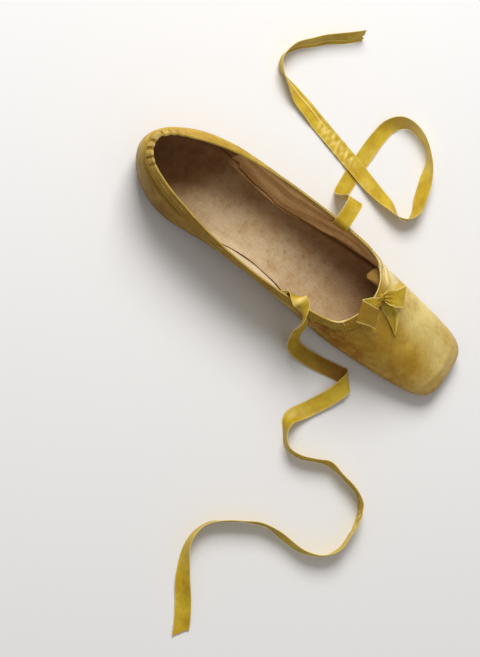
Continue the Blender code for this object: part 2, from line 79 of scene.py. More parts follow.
# Stations along the slipper: x, sole underside z, sole inset from the girth line, girth line z.
FOOT = [
    (-120.0, 0.0, 5.2, 9.5), (-108.0, 0.0, 5.8, 9.5), (-72.0, 0.0, 6.2, 9.0), (-52.0, 0.9, 6.4, 9.6),
    (-28.0, 1.7, 6.2, 10.2), (-6.0, 1.0, 5.6, 9.2), (14.0, 0.0, 4.8, 8.4), (72.0, 0.0, 4.4, 8.0),
    (96.0, 0.5, 4.6, 7.9), (112.0, 1.5, 4.8, 8.0), (120.0, 2.2, 4.8, 8.4),
]
BASE, INSET, LOW = 1, 2, 3
# Opening edge height and the wall's lean: x, z, outward degrees at the girth, inward degrees at the edge.
QUARTER = [
    (-117.0, 43.6, 12.0, 40.0), (-100.0, 43.0, 16.0, 36.0), (-78.0, 41.4, 18.0, 28.0),
    (-53.0, 39.6, 22.0, 20.0), (-28.0, 38.6, 26.0, 16.0), (-3.0, 38.2, 20.0, 20.0),
    (20.0, 38.6, 14.0, 30.0), (42.0, 39.2, 10.0, 44.0),
]
EDGE_Z, LEAN_OUT, LEAN_IN = 1, 2, 3
# Ridge of the vamp: x, z.
CROWN = [
    (20.0, 47.0), (42.0, 45.2), (52.0, 42.0), (66.0, 36.4), (80.0, 30.2), (94.0, 23.9), (104.0, 19.2),
    (111.0, 15.8), (115.5, 13.2), (118.4, 10.8), (120.0, 8.4),
]
VAMP_POWER = 2.5
# Left side of the heel: x and half length in millimetres, and how far the edge is drawn in, or how many
# degrees the wall leans beyond the right one.
LEFT_EDGE_IN = (-106.0, 24.0, 3.8)
LEFT_BELLY = (-68.0, 32.0, 28.0)

# Bow ribbons: x, y, z of the middle of the ribbon, then the vector from there to one edge.
BOW_NEAR_LOOP = [
    (50.5, -2.5, 47.4, 1.8, -4.2, -1.6), (48.5, -5.7, 47.0, 2.2, -5.9, -2.3),
    (45.7, -9.2, 46.7, 2.5, -6.0, -2.8), (44.2, -11.1, 47.0, 2.7, -5.8, -3.2),
    (43.6, -12.1, 48.2, 2.9, -5.7, -3.4), (44.4, -12.2, 49.4, 2.9, -5.7, -3.4),
    (47.5, -11.4, 49.6, 2.9, -5.3, -3.2), (51.7, -10.3, 48.8, 3.0, -4.9, -3.0),
    (55.4, -9.3, 47.4, 3.2, -4.8, -3.0),
]
BOW_FAR_LOOP = [
    (54.4, 6.2, 46.2, 2.6, -2.6, -0.8), (57.6, 8.4, 44.6, 3.2, -3.9, -0.8),
    (60.7, 11.7, 42.2, 3.2, -5.1, -0.8), (62.3, 13.6, 41.4, 3.1, -5.6, -0.8),
    (62.6, 13.7, 42.3, 3.1, -5.6, -0.8), (61.6, 12.5, 43.8, 3.1, -5.4, -0.8),
    (58.9, 8.7, 46.2, 3.1, -4.3, -0.8), (56.2, 7.0, 47.6, 3.1, -3.7, -0.8),
    (53.6, 5.3, 48.5, 3.0, -3.2, -0.7),
]
BOW_TAIL = [
    (52.2, 2.2, 44.7, 1.5, 1.3, 0.0), (57.0, 2.4, 42.9, 2.9, 2.4, -0.1), (61.6, 1.6, 40.2, 4.1, 3.0, -0.4),
    (65.4, -1.4, 38.6, 3.3, 1.3, -0.4), (69.2, -4.5, 37.0, 1.7, 0.5, -0.2),
    (72.2, -7.1, 35.6, 0.4, 0.0, 0.0),
]
BOW_SHORT_TAIL = [
    (55.0, 8.8, 44.2, 1.8, 0.0, 0.0), (55.7, 12.4, 42.8, 1.6, 0.0, 0.0),
    (56.5, 16.4, 40.6, 2.3, 0.0, 0.0), (58.0, 21.2, 38.0, 2.1, -0.1, 0.0),
]
# Knot: its middle, then its three half axes.
BOW_KNOT = [(51.2, 3.9, 47.0), (1.6, 1.4, -0.5), (1.0, -1.8, -0.6), (0.5, 0.2, 2.0)]

# Ribbon ties from the lining out: x, y, z of the middle, then the direction across the ribbon.
TIE_NEAR = [
    (3.5, -27.4, 30.5, 0.94, 0.05, -0.34), (5.2, -26.8, 34.5, 0.93, 0.06, -0.36),
    (7.4, -25.7, 38.6, 0.9, 0.3, -0.3), (10.0, -26.9, 41.2, 0.78, 0.6, 0.0),
    (14.4, -28.8, 42.2, 0.45, 0.5, 0.75), (18.0, -33.2, 40.8, 0.1, -0.1, 0.99),
    (20.6, -36.0, 36.0, -0.3, -0.5, 0.8), (22.8, -37.4, 28.5, -0.55, -0.7, 0.45),
    (24.6, -40.0, 18.5, -0.5, -0.85, 0.2), (27.2, -42.3, 9.5, -0.35, -0.93, 0.05),
    (31.5, -43.4, 4.2, -0.1, -0.99, 0.0), (38.5, -43.2, 1.9, 0.0, -1.0, 0.0),
    (47.0, -42.3, 0.9, 0.0, -1.0, 0.0), (55.7, -40.6, 0.7, 0.06, -0.99, 0.0),
    (62.1, -39.4, 0.7, 0.27, -0.96, 0.0), (67.5, -38.5, 0.7, 0.82, -0.88, 0.0),
    (69.2, -38.6, 1.2, 0.9, -0.97, 0.0), (70.3, -39.2, 2.3, 0.93, -1.0, 0.0),
    (70.8, -40.3, 3.4, 0.9, -0.97, 0.0), (70.7, -42.0, 3.9, 0.82, -0.88, 0.0),
    (69.7, -47.2, 3.9, 0.93, -0.6, -0.03), (67.0, -54.6, 3.1, 0.9, -0.45, 0.0),
    (63.2, -62.4, 2.2, 0.88, -0.47, 0.0), (57.9, -72.0, 1.6, 0.87, -0.47, 0.15),
    (54.0, -78.6, 3.0, 0.75, -0.45, 0.45),
    (53.6, -85.0, 4.7, 0.4, -0.15, 0.88), (56.4, -91.5, 5.3, 0.0, 0.0, 1.0),
    (61.9, -96.6, 5.3, 0.0, 0.0, 1.0), (70.8, -97.1, 5.3, 0.0, 0.1, 1.0),
    (79.9, -93.6, 5.3, 0.0, 0.15, 1.0), (89.7, -89.7, 5.3, 0.0, 0.1, 1.0),
    (102.4, -91.3, 5.3, 0.0, 0.0, 1.0), (113.6, -93.9, 5.3, 0.0, 0.0, 1.0),
    (120.2, -99.1, 5.3, 0.0, 0.0, 1.0), (123.9, -107.8, 5.3, 0.0, 0.0, 1.0),
    (125.2, -118.8, 5.3, 0.0, 0.0, 1.0), (124.4, -129.0, 5.3, 0.0, 0.0, 1.0),
    (117.4, -139.1, 5.3, -0.1, 0.05, 1.0), (107.5, -143.8, 5.3, -0.1, 0.1, 1.0),
    (96.2, -144.2, 5.3, -0.1, 0.15, 1.0), (82.1, -143.7, 5.3, -0.05, 0.15, 1.0),
    (71.2, -146.8, 5.3, 0.0, 0.1, 1.0), (60.4, -153.2, 5.3, 0.0, 0.0, 1.0),
    (50.2, -160.3, 5.3, 0.0, 0.0, 1.0), (44.8, -168.9, 5.3, 0.0, 0.0, 1.0),
    (43.9, -178.3, 5.3, 0.15, 0.1, 1.0), (46.6, -187.4, 4.9, 0.35, 0.2, 0.9),
    (52.6, -197.8, 3.9, 0.6, 0.4, 0.7), (61.4, -209.9, 2.3, 0.8, 0.5, 0.35),
    (68.0, -219.9, 1.1, 0.83, 0.55, 0.12), (72.8, -228.8, 0.6, 0.84, 0.55, 0.0),
]
TIE_FAR = [
    (6.0, 27.8, 30.0, -1.0, 0.0, 0.0), (6.0, 27.0, 34.0, -1.0, 0.0, 0.0),
    (6.0, 25.9, 38.2, -1.0, 0.0, 0.0), (5.9, 28.0, 41.2, -1.0, 0.0, 0.0),
    (5.8, 31.5, 41.8, -1.0, 0.0, 0.0), (5.6, 37.0, 41.8, -1.0, 0.0, 0.0),
    (5.4, 42.0, 41.0, -1.0, 0.0, 0.0), (4.8, 45.6, 38.0, -1.0, -0.1, 0.0),
    (3.8, 47.0, 32.5, -1.0, -0.1, 0.0), (2.4, 48.7, 22.0, -1.0, -0.1, 0.0),
    (1.2, 50.8, 10.0, -1.0, -0.1, 0.0), (0.5, 53.0, 3.8, -1.0, 0.0, 0.0),
    (0.1, 57.0, 0.9, -1.0, 0.0, 0.0), (-0.3, 64.0, 0.45, -1.0, 0.0, 0.0),
    (-0.7, 74.0, 0.4, -1.0, 0.0, 0.0), (-0.8, 87.5, 0.45, -1.0, 0.0, 0.0),
    (-0.4, 100.0, 0.9, -1.0, 0.0, 0.1), (1.0, 109.5, 2.4, -0.9, 0.1, 0.35),
    (5.5, 116.3, 4.5, -0.5, 0.5, 0.75), (14.7, 118.8, 5.3, 0.0, 0.2, 1.0),
    (27.4, 114.6, 5.3, 0.0, 0.0, 1.0), (34.5, 107.0, 5.2, 0.1, 0.0, 1.0),
    (39.3, 97.0, 4.5, 0.5, 0.2, 0.8), (43.2, 85.0, 4.2, 0.6, 0.25, 0.72),
    (46.3, 75.5, 4.8, 0.4, 0.05, 0.9), (44.8, 67.6, 5.3, 0.0, 0.0, 1.0),
    (38.3, 65.2, 5.3, -0.1, -0.3, 0.9), (28.0, 67.5, 4.2, -0.2, -0.8, 0.6),
    (14.0, 70.8, 2.4, -0.25, -0.96, 0.15), (0.0, 74.5, 1.7, -0.25, -0.97, 0.0),
    (-15.0, 78.3, 1.4, -0.25, -0.97, 0.0), (-30.0, 82.0, 1.2, -0.25, -0.97, 0.0),
    (-45.0, 85.8, 1.4, -0.25, -0.9, 0.15), (-58.0, 89.3, 2.6, -0.2, -0.8, 0.4),
    (-68.5, 92.8, 4.4, -0.15, -0.5, 0.85), (-77.0, 96.8, 5.3, 0.0, 0.0, 1.0),
    (-80.3, 104.0, 5.3, 0.0, 0.0, 1.0), (-78.2, 112.0, 5.2, -0.2, 0.1, 0.95),
    (-73.0, 119.8, 4.9, -0.3, 0.2, 0.9), (-64.0, 129.8, 4.8, -0.3, 0.3, 0.9),
    (-54.4, 139.1, 4.7, -0.35, 0.35, 0.85), (-45.4, 148.3, 4.7, -0.35, 0.35, 0.85),
]

# Creases of the upper: depth in millimetres, inwards below nought, half width, and points x, y, z.
CREASES = [
    (-1.0, 2.0, [(50.0, -17.0, 39.8), (54.0, -18.5, 37.6), (60.0, -19.0, 35.0)]),
    (0.8, 2.2, [(47.0, -14.0, 41.5), (53.0, -14.5, 40.0), (61.0, -14.5, 37.0)]),
    (0.55, 0.9, [(46.0, -27.2, 12.5), (62.0, -26.6, 12.2), (80.0, -24.8, 11.8), (96.0, -22.6, 11.4),
                 (104.0, -20.0, 11.6)]),
    (-0.45, 1.2, [(48.0, -26.6, 15.5), (64.0, -25.6, 15.0), (82.0, -23.4, 14.2), (97.0, -20.8, 13.6)]),
    (-0.6, 1.6, [(57.0, 17.0, 36.4), (55.0, 21.0, 34.0)]),
    (0.9, 5.0, [(47.0, 23.0, 36.0), (54.0, 15.0, 38.5)]),
    (-0.5, 2.5, [(80.0, -9.0, 29.8), (84.0, -4.0, 28.0)]),
    (0.4, 2.2, [(100.0, 20.0, 15.0), (111.5, 15.0, 14.0), (114.0, 0.0, 14.5), (111.5, -14.0, 14.0)]),
    (-0.6, 2.5, [(-20.0, -25.0, 20.0), (-2.0, -27.0, 18.0), (14.0, -28.0, 19.0)]),
    (-0.7, 3.0, [(-60.0, -25.0, 30.0), (-40.0, -26.0, 24.0), (-24.0, -26.0, 22.0)]),
    (-0.35, 0.45, [(8.0, -29.5, 36.0), (9.0, -30.0, 24.0), (10.0, -26.5, 9.0)]),
    (-0.35, 0.45, [(8.0, 29.5, 36.0), (9.0, 30.0, 24.0), (10.0, 26.5, 9.0)]),
    (-0.35, 0.45, [(-116.0, 0.0, 40.0), (-120.5, 0.0, 24.0), (-119.0, 0.0, 9.0)]),
]
SOCK_PITS = [
    (-17.0, -5.0, 1.0), (-8.0, 1.3, 1.2), (3.4, 5.8, 1.3), (10.0, 4.5, 1.0), (16.6, 12.0, 1.2),
    (-13.0, -10.4, 1.0), (-38.0, -5.8, 1.0),
]
# Right rim of the sock where the lining hangs clear of it: x, y.
SOCK_RIGHT_RIM = [
    (-60.0, -40.0), (-50.0, -22.6), (-41.0, -20.9), (-35.0, -20.0), (-28.0, -19.4), (-21.0, -19.5),
    (-15.0, -20.0), (-8.0, -20.6), (-2.5, -21.3), (6.0, -23.4), (14.0, -40.0),
]
# Lower edge of the left lining: x, z. Lower edge of the right lining: x, y, z.
FAR_LINING_EDGE = [
    (-66.0, 14.5), (-60.7, 15.5), (-58.0, 10.8), (-55.0, 10.8), (-42.0, 11.8), (-28.0, 12.8), (-13.0, 13.2),
    (2.0, 14.6), (18.0, 17.2), (33.0, 19.0), (41.0, 21.0),
]
NEAR_LINING_EDGE = [
    (-100.0, -16.0, 20.0), (-70.0, -22.0, 20.0), (-55.0, -23.0, 20.0), (-41.0, -22.2, 20.5),
    (-35.0, -21.1, 20.5), (-28.0, -20.7, 20.5), (-21.0, -20.8, 20.5), (-15.0, -21.3, 20.5),
    (-8.0, -21.9, 20.5), (-2.5, -22.5, 20.5), (10.0, -25.4, 20.5), (38.0, -26.5, 20.5),
]
THROAT_TAB_TOP = [(46.4, 22.6, 35.4), (48.4, 17.5, 36.8), (49.8, 11.0, 38.0)]
THROAT_TAB_FOOT = [(41.0, 21.2, 32.0), (39.4, 17.5, 31.6), (38.5, 14.0, 31.6), (40.0, 12.0, 32.2), (48.6, 10.6, 35.4)]
THROAT_SHINE = [(44.0, 25.0, 36.5), (47.5, 20.5, 38.5), (50.0, 17.0, 39.0)]
# Loose thread ends at the throat's corners, at the root of the near tie and on the near loop.
LOOSE_THREADS = [
    [(42.7, 20.6, 39.8), (41.5, 20.9, 41.6), (40.1, 20.3, 42.2), (39.3, 19.3, 41.8)],
    [(42.3, 19.6, 40.4), (41.7, 19.2, 42.0), (40.5, 18.8, 42.6), (38.9, 18.9, 42.4)],
    [(41.9, 21.6, 39.4), (40.7, 22.0, 41.0), (39.7, 22.4, 41.4), (38.3, 22.0, 41.2)],
    [(38.7, -23.4, 40.4), (39.5, -22.6, 42.0), (40.9, -22.6, 42.6), (42.1, -23.4, 41.8)],
    [(38.3, -22.8, 40.6), (37.3, -21.8, 42.0), (36.5, -22.4, 42.8), (35.9, -23.6, 42.2)],
    [(0.9, -27.4, 41.6), (0.3, -26.6, 43.0), (1.3, -26.0, 43.4), (2.3, -26.8, 43.2)],
    [(1.5, -27.8, 41.4), (1.9, -28.6, 42.6), (0.9, -29.2, 42.8), (-0.3, -28.8, 42.0)],
    [(54.7, -8.3, 47.9), (56.0, -8.4, 46.6), (57.0, -9.3, 44.9), (57.5, -10.6, 43.4)],
    [(55.3, -9.2, 47.3), (56.7, -9.6, 45.8), (57.8, -10.9, 44.2), (58.0, -12.2, 42.8)],
]
# Slits between the heel's gathers: millimetres round the edge from the back, depth, half width.
HEEL_SLITS = [
    (4.3, 1.3, 0.55), (-2.3, 1.5, 0.5), (-6.8, 1.5, 0.55), (-11.8, 1.3, 0.6), (-16.0, 0.6, 0.7),
    (9.4, 0.8, 0.6), (14.0, 0.6, 0.8), (19.5, 0.5, 0.8),
]


# Camera and light


def set_camera():
    """The photograph's angle: from above the heel, with the toe to the lower right."""
    eye = np.array([-152.6, -322.4, 1146.8]) * MM
    ahead = np.array([0.1262, 0.2267, -0.9658])
    up = np.array([-0.5883, 0.8010, 0.1112])
    right = np.cross(ahead, up)
    camera = bpy.data.cameras.new("camera")
    camera.sensor_fit = "VERTICAL"
    camera.sensor_height = 36.0
    camera.lens = 105.4
    rig = bpy.data.objects.new("camera", camera)
    bpy.context.scene.collection.objects.link(rig)
    turn = Matrix([list(right), list(np.cross(right, ahead)), list(-ahead)]).transposed()
    rig.matrix_world = Matrix.Translation(eye.tolist()) @ turn.to_4x4()
    bpy.context.scene.camera = rig


def add_softbox(name, place, size, power, tint):
    """Square area light at a place in metres, aimed at the slipper."""
    light = bpy.data.lights.new(name, "AREA")
    light.shape = "SQUARE"
    light.size = size
    light.energy = power
    light.color = tint
    lamp = bpy.data.objects.new(name, light)
    bpy.context.scene.collection.objects.link(lamp)
    away = Matrix.Translation(place).to_translation()
    lamp.rotation_euler = away.to_track_quat("Z", "Y").to_euler()
    lamp.location = place


def set_light():
    """One large softbox over the heel's left side, a weak one opposite, and a pale room."""
    add_softbox("softbox", (-0.62, 0.84, 1.1), 0.85, 23.8, (1.0, 0.985, 0.955))
    add_softbox("fill", (0.9, -0.5, 1.1), 1.2, 1.2, (1.0, 0.98, 0.95))
    world = bpy.data.worlds.new("room")
    bpy.context.scene.world = world
    world.use_nodes = True
    room = world.node_tree.nodes["Background"]
    room.inputs["Color"].default_value = (1.0, 0.968, 0.92, 1.0)
    room.inputs["Strength"].default_value = 0.32
    bpy.context.scene.view_settings.view_transform = "Standard"


# Node wiring


def tone(red, green, blue):
    """Colour as nodes take it, from the 0 to 255 values of a colour chart."""
    parts = [v / 255.0 for v in (red, green, blue)]
    return tuple([v / 12.92 if v <= 0.04045 else ((v + 0.055) / 1.055) ** 2.4 for v in parts] + [1.0])


class Wire:
    """An output socket of a node tree; arithmetic on it adds Math nodes."""

    def __init__(self, tree, socket):
        self.tree = tree
        self.socket = socket

    def feed(self, slot, value):
        if isinstance(value, Wire):
            self.tree.links.new(value.socket, slot)
        else:
            slot.default_value = value

    def math(self, operation, first, second):
        node = self.tree.nodes.new("ShaderNodeMath")
        node.operation = operation
        self.feed(node.inputs[0], first)
        self.feed(node.inputs[1], second)
        return Wire(self.tree, node.outputs[0])

    def __add__(self, other):
        return self.math("ADD", self, other)

    def __sub__(self, other):
        return self.math("SUBTRACT", self, other)

    def __rsub__(self, other):
        return self.math("SUBTRACT", other, self)

    def __mul__(self, other):
        return self.math("MULTIPLY", self, other)

    def __truediv__(self, other):
        return self.math("DIVIDE", self, other)

    def __pow__(self, other):
        return self.math("POWER", self, other)

    def at_least(self, other):
        return self.math("MAXIMUM", self, other)

    def at_most(self, other):
        return self.math("MINIMUM", self, other)

    __radd__ = __add__
    __rmul__ = __mul__


class Net:
    """A node tree that is filled one node at a time."""

    def __init__(self, tree):
        self.tree = tree

    def node(self, kind, settings=(), values=(), output=0):
        """Adds a node, sets its settings, then fills its sockets by name or number."""
        made = self.tree.nodes.new(kind)
        for name, value in dict(settings).items():
            setattr(made, name, value)
        for slot, value in dict(values).items():
            Wire(self.tree, None).feed(made.inputs[slot], value)
        return Wire(self.tree, made.outputs[output])


class Paint(Net):
    """One material: a Principled shader and the nodes that vary its colour, gloss and relief."""

    def __init__(self, name, **constants):
        self.material = bpy.data.materials.new(name)
        self.material.use_nodes = True
        super().__init__(self.material.node_tree)
        self.shader = self.tree.nodes["Principled BSDF"]
        for socket, value in constants.items():
            self.shader.inputs[socket.replace("_", " ")].default_value = value

    def place(self, stretch=(1.0, 1.0, 1.0), turn=(0.0, 0.0, 0.0)):
        """Object coordinates in millimetres, stretched and turned."""
        where = self.node("ShaderNodeTexCoord", output=3)
        scale = tuple(1000.0 * s for s in stretch)
        return self.node("ShaderNodeMapping", values={"Vector": where, "Rotation": turn, "Scale": scale})

    def cloth(self, stretch=(1.0, 1.0)):
        """The piece's own UV map in millimetres, along and across the cloth."""
        where = self.node("ShaderNodeUVMap", {"uv_map": "cloth"})
        scale = (1000.0 * stretch[0], 1000.0 * stretch[1], 1.0)
        return self.node("ShaderNodeMapping", values={"Vector": where, "Scale": scale})

    def noise(self, where, size, detail=3.0, rough=0.55, twist=0.0):
        """Noise from 0 to 1 whose largest features are about size millimetres wide."""
        values = {"Vector": where, "Scale": 1.0 / size, "Detail": detail, "Roughness": rough,
                  "Distortion": twist}
        return self.node("ShaderNodeTexNoise", values=values)

    def cells(self, where, size, chance=1.0):
        """Distance to the nearest of scattered points that are about size millimetres apart."""
        values = {"Vector": where, "Scale": 1.0 / size, "Randomness": chance}
        return self.node("ShaderNodeTexVoronoi", values=values)

    def ribs(self, where, pitch, twist=0.0):
        """Even ribs across the first coordinate, from 0 to 1."""
        values = {"Vector": where, "Scale": 0.314 / pitch, "Distortion": twist}
        return self.node("ShaderNodeTexWave", {"bands_direction": "X"}, values, 1)

    def painted(self, name):
        """A value that is kept on the piece's points."""
        return self.node("ShaderNodeAttribute", {"attribute_name": name}, output=2)

    def step(self, value, low, high):
        """Soft step from 0 to 1 between low and high."""
        values = {"Value": value, "From Min": low, "From Max": high}
        return self.node("ShaderNodeMapRange", {"interpolation_type": "SMOOTHSTEP"}, values)

    def blend(self, share, first, second):
        """Colour that goes from first to second with share."""
        return self.node("ShaderNodeMix", {"data_type": "RGBA"}, {0: share, 6: first, 7: second}, 2)

    def darken(self, colour, share, tint):
        """Colour times a tint, in the given share."""
        settings = {"data_type": "RGBA", "blend_type": "MULTIPLY"}
        return self.node("ShaderNodeMix", settings, {0: share, 6: colour, 7: tint}, 2)

    def relief(self, height, depth, under=None):
        """Bump from a height of 0 to 1 that stands for depth millimetres."""
        values = {"Height": height, "Distance": depth * MM, "Strength": 1.0}
        if under is not None:
            values["Normal"] = under
        return self.node("ShaderNodeBump", values=values)

    def done(self, colour, roughness=None, normal=None, coat=None):
        feeds = {"Base Color": colour, "Roughness": roughness, "Normal": normal, "Coat Weight": coat}
        for socket, value in feeds.items():
            if value is not None:
                Wire(self.tree, None).feed(self.shader.inputs[socket], value)
        return self.material


# Finishes


def paint_satin():
    """Mustard satin of the upper: fine warp, soft blotches, small spots, amber wear with some painted shade, painted
    shade on the near side and painted highlights.
    """
    paint = Paint("mustard_satin", Specular_IOR_Level=0.1, Coat_Roughness=0.35)
    here = paint.place()
    wear_and_shade = paint.painted("wear_and_shade")
    pale = paint.painted("pale")
    painted_shade = paint.painted("painted_shade")
    blotch = paint.noise(here, 24.0, 4.0, 0.62, 0.5)
    mottle = paint.noise(here, 5.0, 4.0, 0.65)
    streak = paint.noise(paint.place((0.07, 0.9, 0.9)), 1.4, 3.0, 0.6)
    body = paint.blend(paint.step(blotch, 0.35, 0.68), tone(182, 145, 48), tone(206, 174, 76))
    # Painted highlight: lightened towards pale cream where pale is set, and towards near white where it passes 1.
    light = (pale * (0.3 + 0.45 * paint.step(mottle + blotch, 0.7, 1.25))).at_most(0.95)
    body = paint.blend(light, body, tone(236, 217, 146))
    body = paint.blend((pale - 1.0) * 0.8, body, tone(244, 232, 180))
    body = paint.darken(body, paint.step(mottle, 0.5, 0.72) * 0.32, tone(210, 180, 126))
    body = paint.darken(body, paint.step(streak, 0.5, 0.75) * 0.2, tone(190, 165, 110))
    # Amber wear, which also carries painted shade at the near heel.
    body = paint.blend(wear_and_shade * paint.step(mottle, 0.25, 0.6) * 0.9, body, tone(150, 92, 18))
    olive = paint.step(paint.noise(here, 11.0, 3.0, 0.6), 0.55, 0.68)
    body = paint.darken(body, olive * 0.22, tone(190, 180, 150))
    # Painted shade: darkened towards olive brown on the near side and low down, as if in shadow.
    body = paint.darken(body, painted_shade * (0.6 + 0.4 * mottle), tone(150, 132, 78))
    speck = 1.0 - paint.step(paint.cells(here, 7.0), 0.05, 0.11)
    chosen = paint.step(paint.noise(here, 9.0, 2.0), 0.54, 0.6)
    body = paint.blend(speck * chosen * 0.6, body, tone(98, 66, 24))
    warp = paint.ribs(paint.cloth(), 0.32, 0.8)
    weave = paint.relief(warp, 0.012)
    dent = paint.relief(paint.noise(here, 3.2, 4.0, 0.62), 0.09, weave)
    soft = paint.relief(paint.noise(here, 14.0, 2.0, 0.5), 0.4, dent)
    gloss = 0.4 + 0.16 * mottle + 0.15 * wear_and_shade - 0.06 * pale
    return paint.done(body, gloss, soft, (0.1 + 0.3 * pale) * (1.0 - 0.7 * painted_shade))


def paint_lining(name, light, dark, stain_and_shade):
    """Plain cotton lining, browned by dirt and painted shade, with its crossed threads as relief."""
    paint = Paint(name, Specular_IOR_Level=0.25)
    here = paint.place()
    soil_and_shade = paint.painted("soil_and_shade")
    fold = paint.painted("fold")
    cloud = paint.noise(here, 18.0, 4.0, 0.6, 0.3)
    grain = paint.noise(here, 1.6, 3.0, 0.65)
    streak = paint.noise(paint.place((0.12, 1.0, 1.0)), 2.4, 3.0, 0.6)
    body = paint.blend(paint.step(cloud * 0.6 + streak * 0.4, 0.35, 0.65), light, dark)
    body = paint.darken(body, paint.step(grain, 0.45, 0.75) * 0.35, tone(200, 176, 140))
    # Painted shade in the folds.
    body = paint.darken(body, fold * 0.4, tone(168, 128, 86))
    # Browned towards the dark tint where dirt and painted shade are set.
    body = paint.blend((soil_and_shade * (0.6 + 0.7 * cloud)).at_most(1.0), body, stain_and_shade)
    thread = paint.relief(paint.ribs(paint.cloth(), 0.45, 0.6), 0.01)
    crumple = paint.relief(paint.noise(here, 4.0, 3.0, 0.6), 0.15, thread)
    return paint.done(body, 0.82 + 0.1 * grain, crumple)


def paint_sock():
    """Tan sock lining: lighter in the middle, brown with dirt and painted shade towards the heel, the left side and
    the toe, and pitted.
    """
    paint = Paint("sock_leather", Specular_IOR_Level=0.3)
    here = paint.place()
    soil_and_shade = paint.painted("soil_and_shade")
    pits_and_gap_shade = paint.painted("pits_and_gap_shade")
    cloud = paint.noise(here, 30.0, 4.0, 0.62, 0.2)
    mottle = paint.noise(here, 7.0, 4.0, 0.65)
    grain = paint.noise(here, 1.1, 4.0, 0.75)
    freckle = paint.noise(here, 2.6, 2.0, 0.5)
    brushed = paint.noise(paint.place((0.3, 1.0, 1.0), (0.0, 0.0, 0.2)), 1.1, 3.0, 0.65)
    body = paint.blend(paint.step(cloud, 0.35, 0.7), tone(205, 184, 150), tone(194, 166, 126))
    body = paint.darken(body, paint.step(mottle, 0.45, 0.7) * 0.3, tone(206, 178, 136))
    # Browned where dirt and painted shade are set.
    brown = (soil_and_shade * (0.75 + 0.5 * mottle)).at_most(1.0)
    body = paint.blend(brown, body, tone(130, 84, 40))
    body = paint.darken(body, paint.step(grain, 0.46, 0.66) * 0.3, tone(200, 174, 134))
    body = paint.darken(body, paint.step(brushed, 0.48, 0.66) * 0.2, tone(198, 168, 124))
    body = paint.darken(body, paint.step(freckle, 0.64, 0.72) * 0.22, tone(164, 124, 80))
    # Dark in the pits, and a painted shadow along the gap at the left wall.
    body = paint.blend(pits_and_gap_shade * 0.6, body, tone(96, 62, 30))
    fleck = 1.0 - paint.step(paint.cells(here, 7.5), 0.05, 0.11)
    body = paint.blend(fleck * paint.step(cloud, 0.45, 0.6) * 0.3, body, tone(120, 84, 48))
    fine = paint.relief(grain, 0.06)
    fibre = paint.relief(brushed, 0.03, fine)
    dent = paint.relief(mottle, 0.2, fibre)
    return paint.done(body, 0.72 + 0.2 * grain, dent)


def paint_tape():
    """Ribbed silk tape of the binding, its ribs across the tape, with painted highlights along its fold and painted
    shade on its near side and in its creases.
    """
    paint = Paint("binding_tape", Specular_IOR_Level=0.1, Coat_Roughness=0.4)
    here = paint.place()
    wear_and_shade = paint.painted("wear_and_shade")
    pale = paint.painted("pale")
    cloud = paint.noise(here, 11.0, 4.0, 0.6)
    ribs = paint.ribs(paint.cloth(), 0.95, 0.35)
    lines = paint.noise(paint.cloth((0.12, 1.4)), 1.0, 3.0, 0.6)
    fuzz = paint.noise(here, 0.9, 3.0, 0.7)
    body = paint.blend(paint.step(cloud, 0.35, 0.65), tone(178, 144, 44), tone(200, 170, 68))
    body = paint.darken(body, (1.0 - ribs) * 0.35, tone(160, 128, 70))
    body = paint.darken(body, paint.step(lines, 0.5, 0.66) * 0.4, tone(170, 134, 84))
    # Painted highlight: lightened towards pale cream where pale is set, and towards near white where it passes 1.
    body = paint.blend(pale * (0.4 + 0.6 * fuzz), body, tone(232, 210, 136))
    body = paint.blend((pale - 1.0) * 0.8, body, tone(244, 232, 180))
    # Darkened where wear and painted shade are set; on the tape it is mostly painted shade.
    body = paint.blend(wear_and_shade * paint.step(fuzz, 0.2, 0.55) * 0.8, body, tone(112, 80, 30))
    cord = paint.relief(ribs, 0.1)
    rough = paint.relief(fuzz, 0.06, cord)
    return paint.done(body, 0.5 + 0.2 * fuzz - 0.18 * pale, rough, 0.3 * pale)


def paint_ribbon():
    """Silk satin ribbon: warp streaks along it, a paler selvedge, painted highlights, a soft gloss and painted shade
    where deep is set.
    """
    paint = Paint("ribbon_silk", Specular_IOR_Level=0.32)
    here = paint.place()
    edge = paint.painted("pale")
    deep = paint.painted("deep")
    streak = paint.noise(paint.cloth((0.035, 1.6)), 1.0, 4.0, 0.65)
    cloud = paint.noise(here, 13.0, 3.0, 0.6)
    mottle = paint.noise(here, 3.4, 4.0, 0.65)
    body = paint.blend(paint.step(cloud * 0.6 + streak * 0.4, 0.38, 0.62), tone(184, 150, 16),
                       tone(212, 186, 52))
    body = paint.darken(body, paint.step(mottle, 0.5, 0.7) * 0.3, tone(220, 190, 100))
    body = paint.darken(body, paint.step(streak, 0.5, 0.7) * 0.3, tone(206, 170, 100))
    # Painted shade: browned where deep is set.
    body = paint.blend(deep, body, tone(134, 82, 18))
    # Lighter along the selvedge, with painted highlights where they are set.
    body = paint.blend(edge, body, tone(248, 224, 132))
    warp = paint.relief(streak, 0.04)
    crumple = paint.relief(paint.noise(here, 5.5, 3.0, 0.6), 0.3, warp)
    return paint.done(body, 0.3 + 0.2 * streak + 0.1 * mottle, crumple)


